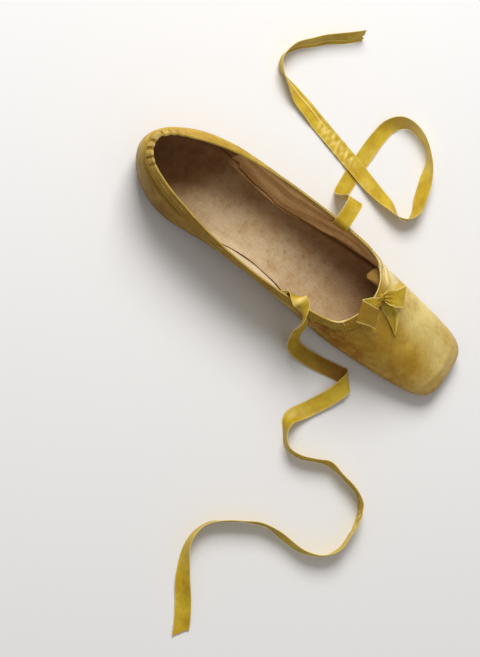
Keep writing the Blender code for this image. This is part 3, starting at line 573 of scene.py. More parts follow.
def paint_sole():
    """Vegetable-tanned sole leather, scuffed dark at heel and ball, with an open grain."""
    paint = Paint("sole_leather", Specular_IOR_Level=0.35)
    here = paint.place()
    wear_and_shade = paint.painted("wear_and_shade")
    cloud = paint.noise(here, 20.0, 4.0, 0.6)
    scuff = paint.noise(paint.place((0.25, 1.3, 1.0), (0.0, 0.0, 0.35)), 2.2, 4.0, 0.7)
    grain = paint.noise(here, 0.9, 3.0, 0.7)
    body = paint.blend(paint.step(cloud, 0.35, 0.7), tone(150, 116, 78), tone(126, 92, 58))
    body = paint.blend(wear_and_shade * paint.step(scuff, 0.35, 0.65), body, tone(72, 54, 40))
    body = paint.darken(body, paint.step(scuff, 0.55, 0.7) * 0.4, tone(170, 140, 108))
    fine = paint.relief(grain, 0.06)
    scratch = paint.relief(scuff, 0.12, fine)
    return paint.done(body, 0.6 + 0.25 * scuff, scratch)


def paint_thread(name, light, dark):
    """Twisted sewing thread."""
    paint = Paint(name, Specular_IOR_Level=0.3, Sheen_Weight=0.2)
    here = paint.place()
    fuzz = paint.noise(here, 0.6, 2.0, 0.6)
    body = paint.blend(paint.step(paint.noise(here, 7.0, 2.0), 0.4, 0.6), light, dark)
    return paint.done(body, 0.7 + 0.2 * fuzz, paint.relief(fuzz, 0.05))


def paint_floor():
    paint = Paint("floor_card", Roughness=0.9, Specular_IOR_Level=0.15)
    soft = paint.noise(paint.place(), 320.0, 1.0)
    return paint.done(paint.blend(soft, tone(238, 238, 240), tone(234, 234, 236)))


# Curves and stations


def hermite(t):
    """The four cubic blending curves: first value, first slope, second value, second slope."""
    return 2 * t ** 3 - 3 * t ** 2 + 1, t ** 3 - 2 * t ** 2 + t, 3 * t ** 2 - 2 * t ** 3, t ** 3 - t ** 2


def smooth(low, high, value):
    t = np.clip((np.asarray(value, float) - low) / (high - low), 0.0, 1.0)
    return t * t * (3.0 - 2.0 * t)


def column(table, index, x):
    """Smooth values of one column of a station table at x."""
    rows = np.array(table, float)
    xs, ys = rows[:, 0], rows[:, index]
    span = np.diff(xs)
    rise = np.diff(ys) / span
    before, after = rise[:-1], rise[1:]
    level = before * after <= 0.0
    inner = np.where(level, 0.0, 2.0 * before * after / np.where(level, 1.0, before + after))
    slope = np.r_[rise[0], inner, rise[-1]]
    i = np.clip(np.searchsorted(xs, x, side="right") - 1, 0, len(span) - 1)
    t = np.clip((x - xs[i]) / span[i], 0.0, 1.0)
    h00, h10, h01, h11 = hermite(t)
    return h00 * ys[i] + h10 * span[i] * slope[i] + h01 * ys[i + 1] + h11 * span[i] * slope[i + 1]


def spline(points, per_span):
    """Centripetal curve through a half outline, mirrored across y = 0 at both ends."""
    p = [np.array(q, float) for q in points]
    mirror = np.array([1.0, -1.0])
    p = [p[1] * mirror] + p + [p[-2] * mirror]
    out = []
    for a, b, c, d in zip(p, p[1:], p[2:], p[3:]):
        t1 = np.linalg.norm(b - a) ** 0.5
        t2 = t1 + np.linalg.norm(c - b) ** 0.5
        t3 = t2 + np.linalg.norm(d - c) ** 0.5
        t = (t1 + (t2 - t1) * np.arange(per_span) / per_span)[:, None]
        ab = a * (t1 - t) / t1 + b * t / t1
        bc = b * (t2 - t) / (t2 - t1) + c * (t - t1) / (t2 - t1)
        cd = c * (t3 - t) / (t3 - t2) + d * (t - t2) / (t3 - t2)
        abc = ab * (t2 - t) / t2 + bc * t / t2
        bcd = bc * (t3 - t) / (t3 - t1) + cd * (t - t1) / (t3 - t1)
        out.append(abc * (t2 - t) / (t2 - t1) + bcd * (t - t1) / (t2 - t1))
    return np.vstack(out + [p[-2][None]])


def run_length(points):
    """Distance along a line of points, from its first point."""
    return np.r_[0.0, np.cumsum(np.linalg.norm(np.diff(points, axis=0), axis=1))]


def cut_evenly(curve, corner_x, count):
    """Points of a half outline at even steps before and after its corner."""
    run = run_length(curve)
    corner = run[int(np.argmax(curve[:, 0] >= corner_x))]
    first = int(round(count * CORNER_SHARE))
    at = np.r_[np.linspace(0.0, corner, first + 1), np.linspace(corner, run[-1], count - first + 1)[1:]]
    return np.c_[np.interp(at, run, curve[:, 0]), np.interp(at, run, curve[:, 1])]


def full_loop(half):
    """Closed loop from a half outline: left side heel to toe, then right side toe to heel."""
    return np.vstack([half, half[1:-1][::-1] * np.array([1.0, -1.0])])


def outward(loop):
    """Unit directions in plan that point away from the slipper's middle."""
    run = np.roll(loop, -1, 0) - np.roll(loop, 1, 0)
    normal = np.c_[-run[:, 1], run[:, 0], np.zeros(len(loop))]
    return normal / np.linalg.norm(normal, axis=1)[:, None]


def grid_normals(grid, wrap):
    """Unit normals of a grid of points; they point outwards on the upper."""
    along = np.roll(grid, -1, 0) - np.roll(grid, 1, 0) if wrap else np.gradient(grid, axis=0)
    normal = np.cross(np.gradient(grid, axis=1), along)
    return normal / np.maximum(np.linalg.norm(normal, axis=2, keepdims=True), 1e-9)


def left_share(loop, place, length):
    """Share of a left-side form at the points of a loop, 1 at its place and fading along the slipper."""
    return np.exp(-((loop[:, 0] - place) / length) ** 2) * smooth(0.0, 9.0, loop[:, 1])


def near_line(points, line):
    """Distance from each point to a line of joined straight runs."""
    best = np.full(points.shape[:-1], 1e9)
    for a, b in zip(np.array(line[:-1], float), np.array(line[1:], float)):
        run = b - a
        t = np.clip((points - a) @ run / max(run @ run, 1e-9), 0.0, 1.0)
        best = np.minimum(best, np.linalg.norm(points - (a + t[..., None] * run), axis=-1))
    return best


def bell(distance, width):
    return np.exp(-(distance / width) ** 2)


# The form on the last

GIRTH_CURVE = spline(GIRTH, 24)
OPENING_CURVE = spline(OPENING, 24)


def vamp_height(x, y):
    """Height of the vamp's outer face above the floor."""
    low = column(FOOT, LOW, x)
    high = column(CROWN, 1, x)
    half = np.interp(x, GIRTH_CURVE[:, 0], GIRTH_CURVE[:, 1], left=0.0, right=0.0)
    side = np.minimum(np.abs(y) / np.maximum(half, 1e-3), 1.0)
    return low + (high - low) * np.maximum(1.0 - side ** VAMP_POWER, 0.0) ** (1.0 / VAMP_POWER)


def form_upper():
    """Outer face of the upper as a grid: ribs round the shoe, rows from the turned-in margin to the edge."""
    girth = full_loop(cut_evenly(GIRTH_CURVE, CORNER_GIRTH_X, RIBS))
    opening = full_loop(cut_evenly(OPENING_CURVE, CORNER_OPENING_X, RIBS))
    away = outward(girth)
    opening[:, 1] -= LEFT_EDGE_IN[2] * left_share(opening, *LEFT_EDGE_IN[:2])
    belly = LEFT_BELLY[2] * left_share(opening, *LEFT_BELLY[:2])
    gx, gy = girth.T
    ox, oy = opening.T
    inset = column(FOOT, INSET, gx)[:, None]
    low = column(FOOT, LOW, gx)
    floor = column(FOOT, BASE, gx) + SOLE_THICK + GAP
    edge = np.c_[girth, floor] - away * inset
    rows = [edge - away * MARGIN_WIDTH, edge - away * 0.5]
    for angle in np.radians(np.linspace(12.0, 78.0, 6)):
        rise = (low - floor) * (1.0 - math.cos(angle))
        rows.append(edge + away * inset * math.sin(angle) + np.c_[np.zeros_like(girth), rise])

    edge_z = column(QUARTER, EDGE_Z, ox)
    on_vamp = smooth(CORNER_OPENING_X - 1.0, CORNER_OPENING_X + 4.5, ox)
    edge_z = edge_z + (vamp_height(ox, oy) - edge_z) * on_vamp
    stretch = np.where(ox > 0.0, (edge_z - low) / (vamp_height(ox, oy) - low + 1e-9), 1.0)
    start = np.c_[girth, low]
    end = np.c_[opening, edge_z]
    reach = 0.95 * np.linalg.norm(end - start, axis=1)[:, None]
    lean_out = np.radians(column(QUARTER, LEAN_OUT, ox) + belly)[:, None]
    lean_in = np.radians(column(QUARTER, LEAN_IN, ox) + belly)[:, None]
    up = np.array([[0.0, 0.0, 1.0]])
    m0 = reach * (away * np.sin(lean_out) + up * np.cos(lean_out))
    m1 = reach * (up * np.cos(lean_in) - away * np.sin(lean_in))
    vamp_share = smooth(CORNER_OPENING_X - 18.0, CORNER_OPENING_X + 1.5, ox)[:, None]
    for v in np.linspace(0.0, 1.0, WALL_ROWS + 1):
        h00, h10, h01, h11 = hermite(v)
        quarter = h00 * start + h10 * m0 + h01 * end + h11 * m1
        px, py = (girth + (opening - girth) * v ** 2).T
        vamp = np.c_[px, py, low + np.maximum(vamp_height(px, py) - low, 0.0) * stretch]
        rows.append(quarter + (vamp - quarter) * vamp_share)
    grid = np.stack(rows, axis=1)
    grid[..., 0] += FRAME_X
    return grid


OUTER = form_upper()
OUTER_NORMALS = grid_normals(OUTER, True)
DROP = np.array([run_length(rib[::-1]) for rib in OUTER])
THICK = UPPER_THICK * (0.6 + 0.4 * smooth(3.0, 12.0, DROP[:, ::-1]))
INNER = OUTER - OUTER_NORMALS * THICK[..., None]
ROUND = np.r_[0.0, np.cumsum(np.linalg.norm(np.diff(OUTER[:, -1], axis=0), axis=1))]


def from_edge(ribs, depth, off):
    """Points on some ribs at depths below the upper's edge, off its outer face; a negative depth lies above."""
    depth = np.broadcast_to(depth, (len(ribs), np.shape(depth)[-1]))
    off = np.broadcast_to(off, depth.shape)
    out = []
    for i, d, o in zip(ribs, depth, off):
        rib, drop, facing = OUTER[i, ::-1], DROP[i], OUTER_NORMALS[i, ::-1]
        place = np.stack([np.interp(d, drop, rib[:, c]) for c in range(3)], axis=1)
        normal = np.stack([np.interp(d, drop, facing[:, c]) for c in range(3)], axis=1)
        rise = (rib[0] - rib[2]) / np.linalg.norm(rib[0] - rib[2])
        above = np.maximum(-d, 0.0)[:, None]
        out.append(place + rise * above + normal / np.linalg.norm(normal, axis=1)[:, None] * o[:, None])
    return np.array(out)


# Meshes


def link_mesh(name, points, faces, finishes, slots=None, corners=None, values=None):
    """Object at the origin from points in millimetres, turned so that its faces point outwards."""
    mesh = bpy.data.meshes.new(name)
    mesh.from_pydata((np.asarray(points) * MM).tolist(), [], [list(map(int, f)) for f in faces])
    for finish in finishes:
        mesh.materials.append(finish)
    if slots is not None:
        mesh.polygons.foreach_set("material_index", np.asarray(slots, np.int32))
    if corners is not None:
        layer = mesh.uv_layers.new(name="cloth")
        layer.uv.foreach_set("vector", (np.asarray(corners, np.float32) * MM).ravel())
    for key, numbers in (values or {}).items():
        layer = mesh.attributes.new(key, "FLOAT", "POINT")
        layer.data.foreach_set("value", np.asarray(numbers, np.float32).ravel())
    work = bmesh.new()
    work.from_mesh(mesh)
    if work.calc_volume(signed=True) < 0.0:
        bmesh.ops.reverse_faces(work, faces=work.faces)
    work.to_mesh(mesh)
    work.free()
    mesh.shade_smooth()
    mesh.set_sharp_from_angle(angle=math.radians(50.0))
    item = bpy.data.objects.new(name, mesh)
    bpy.context.scene.collection.objects.link(item)
    return item


def sheet_piece(name, front, back, wrap, finishes, along=None, across=None, values=None):
    """Closed thin piece between two grids; finishes dress its front and its back, in that order."""
    m, n = front.shape[:2]
    spans = m if wrap else m - 1
    corner = np.array([[0, 0], [1, 0], [1, 1], [0, 1]])
    i, j = [g.ravel() for g in np.meshgrid(np.arange(spans), np.arange(n - 1), indexing="ij")]
    cell = np.stack([i, j], 1)[:, None] + corner
    front_ids = (cell[..., 0] % m) * n + cell[..., 1]
    back_ids = front_ids[:, ::-1] + m * n
    rims = []
    rim_cells = []
    for j, turn in ((0, 1), (n - 1, -1)):
        for i in range(spans):
            k = (i + 1) % m
            rims.append([i * n + j, i * n + j + m * n, k * n + j + m * n, k * n + j][::turn])
            rim_cells.append([(i, j), (i, j), (i + 1, j), (i + 1, j)][::turn])
    if not wrap:
        for i, turn in ((0, -1), (m - 1, 1)):
            for j in range(n - 1):
                a, b = i * n + j, i * n + j + 1
                rims.append([a, a + m * n, b + m * n, b][::turn])
                rim_cells.append([(i, j), (i, j), (i, j + 1), (i, j + 1)][::turn])
    if along is None:
        middle = front[:, n // 2]
        along = run_length(np.vstack([middle, middle[:1]])) if wrap else run_length(middle)
    if across is None:
        across = run_length(front[m // 2])
    faces = np.vstack([front_ids, back_ids, np.array(rims)])
    cells = np.vstack([cell, cell[:, ::-1], np.array(rim_cells)])
    corners = np.stack([np.asarray(along)[cells[..., 0]], np.asarray(across)[cells[..., 1]]], axis=-1)
    slots = np.r_[np.zeros(len(cell)), np.full(len(cell), len(finishes) - 1), np.zeros(len(rims))]
    kept = {key: np.stack([v, v]) for key, v in (values or {}).items()}
    points = np.vstack([front.reshape(-1, 3), back.reshape(-1, 3)])
    return link_mesh(name, points, faces, finishes, slots, corners.reshape(-1, 2), kept)


def tube_mesh(routes, radius, sides):
    """Points and faces of thin round threads along lines of points, closed at both ends."""
    points, faces = [], []
    for route in routes:
        route = np.asarray(route, float)
        run = np.gradient(route, axis=0)
        run /= np.linalg.norm(run, axis=1)[:, None]
        helper = np.where(np.abs(run[:, 2:]) < 0.9, [[0.0, 0.0, 1.0]], [[1.0, 0.0, 0.0]])
        side = np.cross(run, helper)
        side /= np.linalg.norm(side, axis=1)[:, None]
        rise = np.cross(side, run)
        start = len(points)
        for place, a, b in zip(route, side, rise):
            for turn in np.linspace(0.0, 2 * math.pi, sides, endpoint=False):
                points.append(place + (a * math.cos(turn) + b * math.sin(turn)) * radius)
        for i in range(len(route) - 1):
            for k in range(sides):
                m = (k + 1) % sides
                a, b = start + i * sides, start + (i + 1) * sides
                faces.append([a + k, a + m, b + m, b + k])
        faces.append([start + k for k in range(sides)][::-1])
        faces.append([start + (len(route) - 1) * sides + k for k in range(sides)])
    return points, faces


def thread_piece(name, routes, radius, finish):
    points, faces = tube_mesh(routes, radius, 6)
    return link_mesh(name, points, faces, [finish])


def line_object(name, points, closed):
    """Wire of straight edges through points in millimetres."""
    mesh = bpy.data.meshes.new(name)
    edges = [(i, i + 1) for i in range(len(points) - 1)]
    if closed:
        edges.append((len(points) - 1, 0))
    mesh.from_pydata((np.asarray(points) * MM).tolist(), edges, [])
    item = bpy.data.objects.new(name, mesh)
    bpy.context.scene.collection.objects.link(item)
    return item


def stitch_tree():
    """Geometry Nodes tree that sets one rounded stitch after another along a line."""
    tree = bpy.data.node_groups.new("stitches", "GeometryNodeTree")
    sockets = {}
    for name, kind in (("Line", "Geometry"), ("Pitch", "Float"), ("Stitch Length", "Float"),
                       ("Thread", "Float"), ("Unevenness", "Float"), ("Finish", "Material")):
        sockets[name] = tree.interface.new_socket(name, in_out="INPUT", socket_type="NodeSocket" + kind)
    tree.interface.new_socket("Stitches", in_out="OUTPUT", socket_type="NodeSocketGeometry")
    net = Net(tree)
    node = tree.nodes.new("NodeGroupInput")
    line, pitch, length, thread, uneven, finish = [Wire(tree, node.outputs[n]) for n in sockets]
    curve = net.node("GeometryNodeMeshToCurve", values={0: line})
    even = net.node("GeometryNodeResampleCurve", {"mode": "LENGTH"}, {"Curve": curve, "Length": pitch})
    bead = net.node("GeometryNodeMeshIcoSphere", values={"Radius": 0.5, "Subdivisions": 2})
    tangent = net.node("GeometryNodeInputTangent")
    turn = net.node("FunctionNodeAlignRotationToVector", {"axis": "Z"}, {"Vector": tangent})
    jitter = net.node("FunctionNodeRandomValue", values={"Min": 1.0 - uneven, "Max": 1.0 + uneven, "Seed": 7},
                      output=1)
    size = net.node("ShaderNodeCombineXYZ", values={"X": thread, "Y": thread, "Z": length * jitter})
    values = {"Points": even, "Instance": bead, "Rotation": turn, "Scale": size}
    rows = net.node("GeometryNodeInstanceOnPoints", values=values)
    solid = net.node("GeometryNodeRealizeInstances", values={"Geometry": rows})
    dressed = net.node("GeometryNodeSetMaterial", values={"Geometry": solid, "Material": finish})
    dressed.feed(tree.nodes.new("NodeGroupOutput").inputs[0], dressed)
    return tree, {name: socket.identifier for name, socket in sockets.items()}


def stitch_row(name, points, closed, pitch, length, thread, uneven, finish):
    """Row of stitches along a line of points in millimetres, as a plain mesh."""
    line = line_object(name + "_line", points, closed)
    modifier = line.modifiers.new("stitches", "NODES")
    modifier.node_group = STITCHES[0]
    given = {"Pitch": pitch * MM, "Stitch Length": length * MM, "Thread": thread * MM,
             "Unevenness": uneven, "Finish": finish}
    for key, value in given.items():
        modifier[STITCHES[1][key]] = value
    depsgraph = bpy.context.evaluated_depsgraph_get()
    mesh = bpy.data.meshes.new_from_object(line.evaluated_get(depsgraph))
    bpy.data.objects.remove(line, do_unlink=True)
    mesh.shade_smooth()
    mesh.name = name
    item = bpy.data.objects.new(name, mesh)
    bpy.context.scene.collection.objects.link(item)
    return item


# Ribbons


def follow(rows, step):
    """Station rows as samples of a smooth curve, about step millimetres apart."""
    rows = np.array(rows, float)
    rows = np.vstack([2 * rows[0] - rows[1], rows, 2 * rows[-1] - rows[-2]])
    out = []
    for a, b, c, d in zip(rows, rows[1:], rows[2:], rows[3:]):
        count = max(int(np.linalg.norm(c[:3] - b[:3]) / step), 2)
        t = (np.arange(count) / count)[:, None]
        out.append(0.5 * (2 * b + (c - a) * t + (2 * a - 5 * b + 4 * c - d) * t * t
                          + (3 * b - a - 3 * c + d) * t ** 3))
    samples = np.vstack(out + [rows[-2:-1]])
    samples[:, 0] += FRAME_X
    return samples


def ripple(s, w, seed, size):
    """Gentle random waves, about 1 high, over a length s and a width share w."""
    pick = np.random.default_rng(seed)
    total = np.zeros(np.broadcast(s, w).shape)
    for _ in range(7):
        pace = pick.uniform(0.6, 1.7) * 2 * math.pi / size
        total = total + np.sin(s * pace + pick.uniform(-1.6, 1.6) * w + pick.uniform(0.0, 6.28))
    return total / 3.2


def ribbon_grid(samples, half, cells, shape, cut=0.0, ragged=0.0):
    """Middle face of a ribbon: rows along it and cells across it; its last end may be slanted and ragged."""
    path, across = samples[:, :3], samples[:, 3:]
    run = np.gradient(path, axis=0)
    run /= np.linalg.norm(run, axis=1)[:, None]
    if half is not None:
        slant = np.clip((np.linalg.norm(across, axis=1)[:, None] - 1.03) / 0.12, 0.0, 1.0)
        square = across - run * np.sum(across * run, axis=1)[:, None]
        square = square / np.linalg.norm(square, axis=1)[:, None]
        across = (square + (across - square) * slant) * half
    facing = np.cross(run, across)
    facing /= np.linalg.norm(facing, axis=1)[:, None]
    s = run_length(path)
    w = np.linspace(-1.0, 1.0, cells + 1)
    share = (1.0 + w[None]) / 2.0
    at = s[:, None] * np.ones_like(w)[None]
    at = at - cut * share * smooth(s[-1] - 14.0, s[-1], s)[:, None]
    at = at - ragged * smooth(s[-1] - 4.0, s[-1], s)[:, None]
    grid = np.stack([np.interp(at, s, path[:, c]) for c in range(3)], axis=-1)
    grid = grid + w[None, :, None] * np.stack([np.interp(at, s, across[:, c]) for c in range(3)], axis=-1)
    faces = np.stack([np.interp(at, s, facing[:, c]) for c in range(3)], axis=-1)
    return grid + faces * shape(s[:, None], w[None])[..., None]


def ribbon_piece(name, grid, thick, finish, floor=None, deep=0.0, edge=0.45, highlight=0.0):
    """Ribbon of even thickness from its middle face, with a paler selvedge."""
    facing = grid_normals(grid, False) * thick / 2.0
    front, back = grid + facing, grid - facing
    if floor is not None:
        front[..., 2] = np.maximum(front[..., 2], floor)
        back[..., 2] = np.maximum(back[..., 2], floor)
    w = np.linspace(-1.0, 1.0, grid.shape[1])
    # Lighter along the selvedge; the painted highlights given come on top.
    pale = np.maximum(edge * smooth(0.88, 0.99, np.abs(w))[None] * np.ones(grid.shape[:2]), highlight)
    values = {"pale": pale, "deep": np.broadcast_to(deep, grid.shape[:2])}
    return sheet_piece(name, front, back, False, [finish], values=values)


# Pieces


def add_upper(satin, lining):
    """Upper: satin outside and its lining inside, with the creases that its folds and wear have left."""
    x, y, z = np.moveaxis(OUTER, -1, 0)
    push = np.zeros(x.shape)
    for depth, width, line in CREASES:
        push += depth * bell(near_line(OUTER, line), width)
    drop = DROP[:, ::-1]
    full = 0.75 + 0.25 * np.sin(ROUND / 11.0 + 1.5 * np.sin(ROUND / 23.0))[:, None]
    push += full * (0.7 * bell(drop - 10.5, 2.4) - 0.45 * bell(drop - 7.3, 0.8))
    outer = OUTER + OUTER_NORMALS * push[..., None]
    inner = INNER + OUTER_NORMALS * push[..., None] * 0.6
    near = smooth(0.0, -26.0, y)
    low = 1.0 - smooth(8.0, 16.0, z)
    rim = bell(near_line(OUTER, [(112.5, -15.0, 14.0), (115.2, 0.0, 14.2), (112.5, 15.0, 14.0)]), 2.2)
    # Wear low down, on the toe rim, on the near side towards the toe and along a line on the near side; the term at
    # the near heel is painted shade.
    wear_and_shade = np.clip(0.4 * near * smooth(10.0, 36.0, x) + 0.3 * low + 0.25 * rim
                   + 0.9 * bell(near_line(OUTER, [(24, -28, 30), (42, -27, 26), (60, -27, 18)]), 7.0)
                   + 0.25 * near * (1.0 - smooth(-20.0, 10.0, x)), 0.0, 1.0)
    # Painted shade on the near side, strongest towards the heel and low on the wall, and in a band along the bottom
    # all round.
    heel_side = 1.0 - smooth(-50.0, 10.0, x)
    painted_shade = smooth(4.0, -18.0, y) * (0.3 + 0.4 * heel_side) * (1.0 - smooth(38.0, 60.0, x))
    painted_shade = painted_shade + 0.25 * (1.0 - smooth(7.0, 15.0, z)) + 0.35 * heel_side * near * (1.0 - smooth(10.0, 28.0, z))
    # Painted highlight on the far side of the vamp, lighter also towards the toe, and a strong painted highlight at
    # the throat's left corner.
    pale = np.clip(smooth(-8.0, 12.0, y) * smooth(50.0, 75.0, x) + 0.7 * smooth(96.0, 112.0, x), 0.0, 1.0)
    pale = pale + 1.5 * bell(near_line(OUTER, [(48.0, 25.0, 33.0), (58.0, 14.0, 37.5)]), 7.0)
    # Inner face darker at the heel and towards the toe: dirt and painted shade inside the slipper.
    soil_and_shade = 0.9 * (1.0 - smooth(-76.0, -56.0, x)) + 0.5 * smooth(30.0, 60.0, x)
    piece = sheet_piece("upper_satin", outer, inner, True, [satin, lining], across=run_length(OUTER[RIBS // 2]),
                        values={"wear_and_shade": wear_and_shade, "pale": pale, "soil_and_shade": soil_and_shade, "painted_shade": np.clip(painted_shade, 0.0, 1.0)})
    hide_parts("upper")
    return piece


def sock_rim(height, side):
    """Inner face of the upper at a height above the sole's underside, heel to toe, on one side."""
    out = []
    for rib in [INNER[side * i] for i in range(RIBS + 1)]:
        lift = rib[:, 2] - column(FOOT, BASE, rib[:, 0] - FRAME_X)
        top = 4 + int(np.argmax(lift[4:] >= height)) if np.any(lift[4:] >= height) else int(np.argmax(lift))
        t = (height - lift[top - 1]) / max(lift[top] - lift[top - 1], 1e-6)
        out.append(rib[top - 1] + (rib[top] - rib[top - 1]) * min(max(t, 0.0), 1.0))
    return np.array(out)


def add_sock(sock, under):
    """Sock lining: flat under the foot, curving up the walls all round like a shallow dish."""
    rim = sock_rim(12.5, 1)[2:-2]
    other = sock_rim(12.5, -1)[2:-2]
    share = (1.0 + np.sin(np.linspace(-math.pi / 2, math.pi / 2, 71))) / 2.0
    x = np.repeat(rim[:, :1], 71, axis=1)
    left = rim[:, 1] * 0.985
    table = np.array(SOCK_RIGHT_RIM)
    right = np.where(rim[:, 0] < 60.0, np.interp(rim[:, 0], other[:, 0], other[:, 1]) * 0.985, -left)
    right = np.maximum(right, np.interp(rim[:, 0], table[:, 0], table[:, 1], left=-99.0, right=-99.0))
    y = right[:, None] + (left - right)[:, None] * share[None]
    loop = np.vstack([np.c_[rim[:, 0], left], np.c_[rim[:, 0], right][::-1]])
    where = np.stack([x, y], axis=-1)
    wall = near_line(where, np.vstack([loop, loop[:1]]))
    turn = np.interp(x, [-120.0, -70.0, 60.0, 100.0, 116.0], [9.0, 8.0, 7.0, 4.0, 3.0])
    raised = smooth(-4.0, -14.0, y) * smooth(-72.0, -48.0, x) * (1.0 - smooth(10.0, 34.0, x))
    tall = turn * 0.85 + raised * (11.2 - turn * 0.85)
    lift = tall * (1.0 - np.sqrt(np.maximum(1.0 - np.maximum(1.0 - wall / turn, 0.0) ** 2, 0.0)))
    z = column(FOOT, BASE, x - FRAME_X) + SOCK_TOP + lift
    z = z + 0.35 * ripple(x, y / 9.0, 5, 46.0) * smooth(0.0, 8.0, wall)
    pits = np.zeros(x.shape)
    for px, py, size in SOCK_PITS:
        pits = np.maximum(pits, 0.85 * bell(np.hypot(x - px, y - py), 0.85 * size))
    z = z - 0.3 * pits
    # Painted shadow in the gap below the left lining's lower edge.
    gap = smooth(0.0, 6.0, y) * smooth(-64.0, -50.0, x) * (1.0 - smooth(0.5, 1.8, wall))
    top = np.stack([x, y, z], axis=-1)
    # Darker at the heel, over the left half and towards the toe: dirt and painted shade from the walls.
    soil_and_shade = 0.85 * (1.0 - smooth(-88.0, -66.0, x - 0.5 * y)) + 0.2 * smooth(40.0, 90.0, x)
    soil_and_shade = soil_and_shade + smooth(-6.0, 24.0, y) * smooth(-84.0, -40.0, x) * (0.7 - 0.4 * smooth(-20.0, 30.0, x))
    soil_and_shade = soil_and_shade + 0.35 * smooth(-30.0, 30.0, x) * smooth(-16.0, 4.0, y)
    values = {"soil_and_shade": np.clip(soil_and_shade, 0.0, 1.0), "pits_and_gap_shade": np.maximum(pits, 1.4 * gap)}
    lower = top - np.array([0.0, 0.0, 0.7])
    piece = sheet_piece("sock", top, lower, False, [sock, under], values=values)
    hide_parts("insole")
    return piece


def rib_near(x, side):
    """Number of the rib whose edge point lies nearest x, on the left (+1) or the right (-1) side."""
    left = int(np.argmin(np.abs(OUTER[:RIBS + 1, -1, 0] - x)))
    return left if side > 0 else (2 * RIBS - left) % (2 * RIBS)


def depth_at(rib, height):
    """Depth below the edge at which a rib comes down to a height."""
    line = OUTER[rib, ::-1]
    return float(np.interp(-height, -line[:WALL_ROWS, 2], DROP[rib][:WALL_ROWS]))


def add_far_lining(finish):
    """Loose lining of the left wall: lengthwise folds and a frayed lower edge above the sock, with painted shade in
    the folds and along that edge.
    """
    first, last = rib_near(-66.0, 1), rib_near(41.0, 1)
    ribs = np.arange(first, last + 1)
    edge = np.array(FAR_LINING_EDGE, float)
    x = OUTER[ribs, -1, 0]
    lower = np.interp(x, edge[:, 0], edge[:, 1])
    pick = np.random.default_rng(11)
    fray = np.convolve(pick.normal(0.0, 1.0, len(ribs) + 6), np.ones(3) / 3.0, "same")[3:-3]
    lower = lower + 0.35 * fray + 0.5 * np.sin(x / 5.3) * np.sin(x / 13.0)
    deep = np.array([depth_at(r, h) for r, h in zip(ribs, lower)])
    share = np.linspace(0.0, 1.0, 44)
    depth = 1.2 + (deep[:, None] - 1.2) * share[None]
    drift = 0.22 * np.sin(x / 17.0)[:, None] + x[:, None] / 150.0
    wave = np.sin(2 * math.pi * (share[None] * 2.3 + drift))
    small = np.sin(2 * math.pi * (share[None] * 5.1 - x[:, None] / 70.0 + 0.3 * np.sin(x / 9.0)[:, None]))
    folds = 0.5 * wave + 0.25 * small
    loose = 0.3 + 0.8 * smooth(0.1, 0.5, share)[None] + 1.3 * smooth(0.75, 1.0, share)[None]
    free = smooth(0.06, 0.3, share)[None] * (0.5 + 0.5 * smooth(-66.0, -50.0, x)[:, None])
    hang = loose + folds * free + 0.9 * bell(x + 64.0, 4.0)[:, None] * share[None]
    off = -UPPER_THICK - np.maximum(hang, 0.2)
    front = from_edge(ribs, depth, off - 0.35)
    back = from_edge(ribs, depth, off)
    # Painted shade along the lower edge, and darker towards the throat.
    soil_and_shade = 0.85 * smooth(0.93, 1.0, share)[None] + 0.35 * smooth(12.0, 40.0, x)[:, None]
    # Painted shade in the valleys of the folds, and a dark painted shadow line along the lower edge.
    crease = np.clip(0.5 - 0.9 * wave, 0.0, 1.0) * smooth(0.1, 0.3, share)[None]
    crease = np.maximum(crease, 2.2 * smooth(0.955, 0.98, share)[None])
    values = {"soil_and_shade": np.clip(soil_and_shade, 0.0, 1.0), "fold": crease}
    return sheet_piece("lining_left", front, back, False, [finish], values=values)


def add_near_lining(finish):
    """Loose lining of the right wall: it has come away below and hangs inwards, showing a dark gap."""
    ribs = np.arange(rib_near(38.0, -1), rib_near(-100.0, -1) + 1)
    x = OUTER[ribs, -1, 0]
    table = np.array(NEAR_LINING_EDGE)[::-1]
    target = [np.interp(x, table[::-1, 0], table[::-1, c]) for c in (1, 2)]
    deep = np.array([depth_at(r, h) for r, h in zip(ribs, target[1])])
    share = np.linspace(0.0, 1.0, 26)
    depth = 1.2 + (deep[:, None] - 1.2) * share[None]
    front = from_edge(ribs, depth, np.full(26, -UPPER_THICK - 0.3))
    pull = np.maximum(target[0] - front[:, -1, 1], 0.0)
    wave = 0.3 * np.sin(x[:, None] / 6.0 + share[None] * 4.0) * share[None]
    front[..., 1] += pull[:, None] * share[None] ** 1.6 + np.maximum(wave, -0.2)
    back = front - np.array([0.0, 0.4, 0.0])
    # Painted shade along the lower edge and towards the heel.
    soil_and_shade = 0.5 * smooth(0.94, 1.0, share)[None] + 0.8 * (1.0 - smooth(-82.0, -58.0, x))[:, None]
    values = {"soil_and_shade": np.clip(soil_and_shade, 0.0, 1.0)}
    return sheet_piece("lining_right", front, back, False, [finish], values=values)


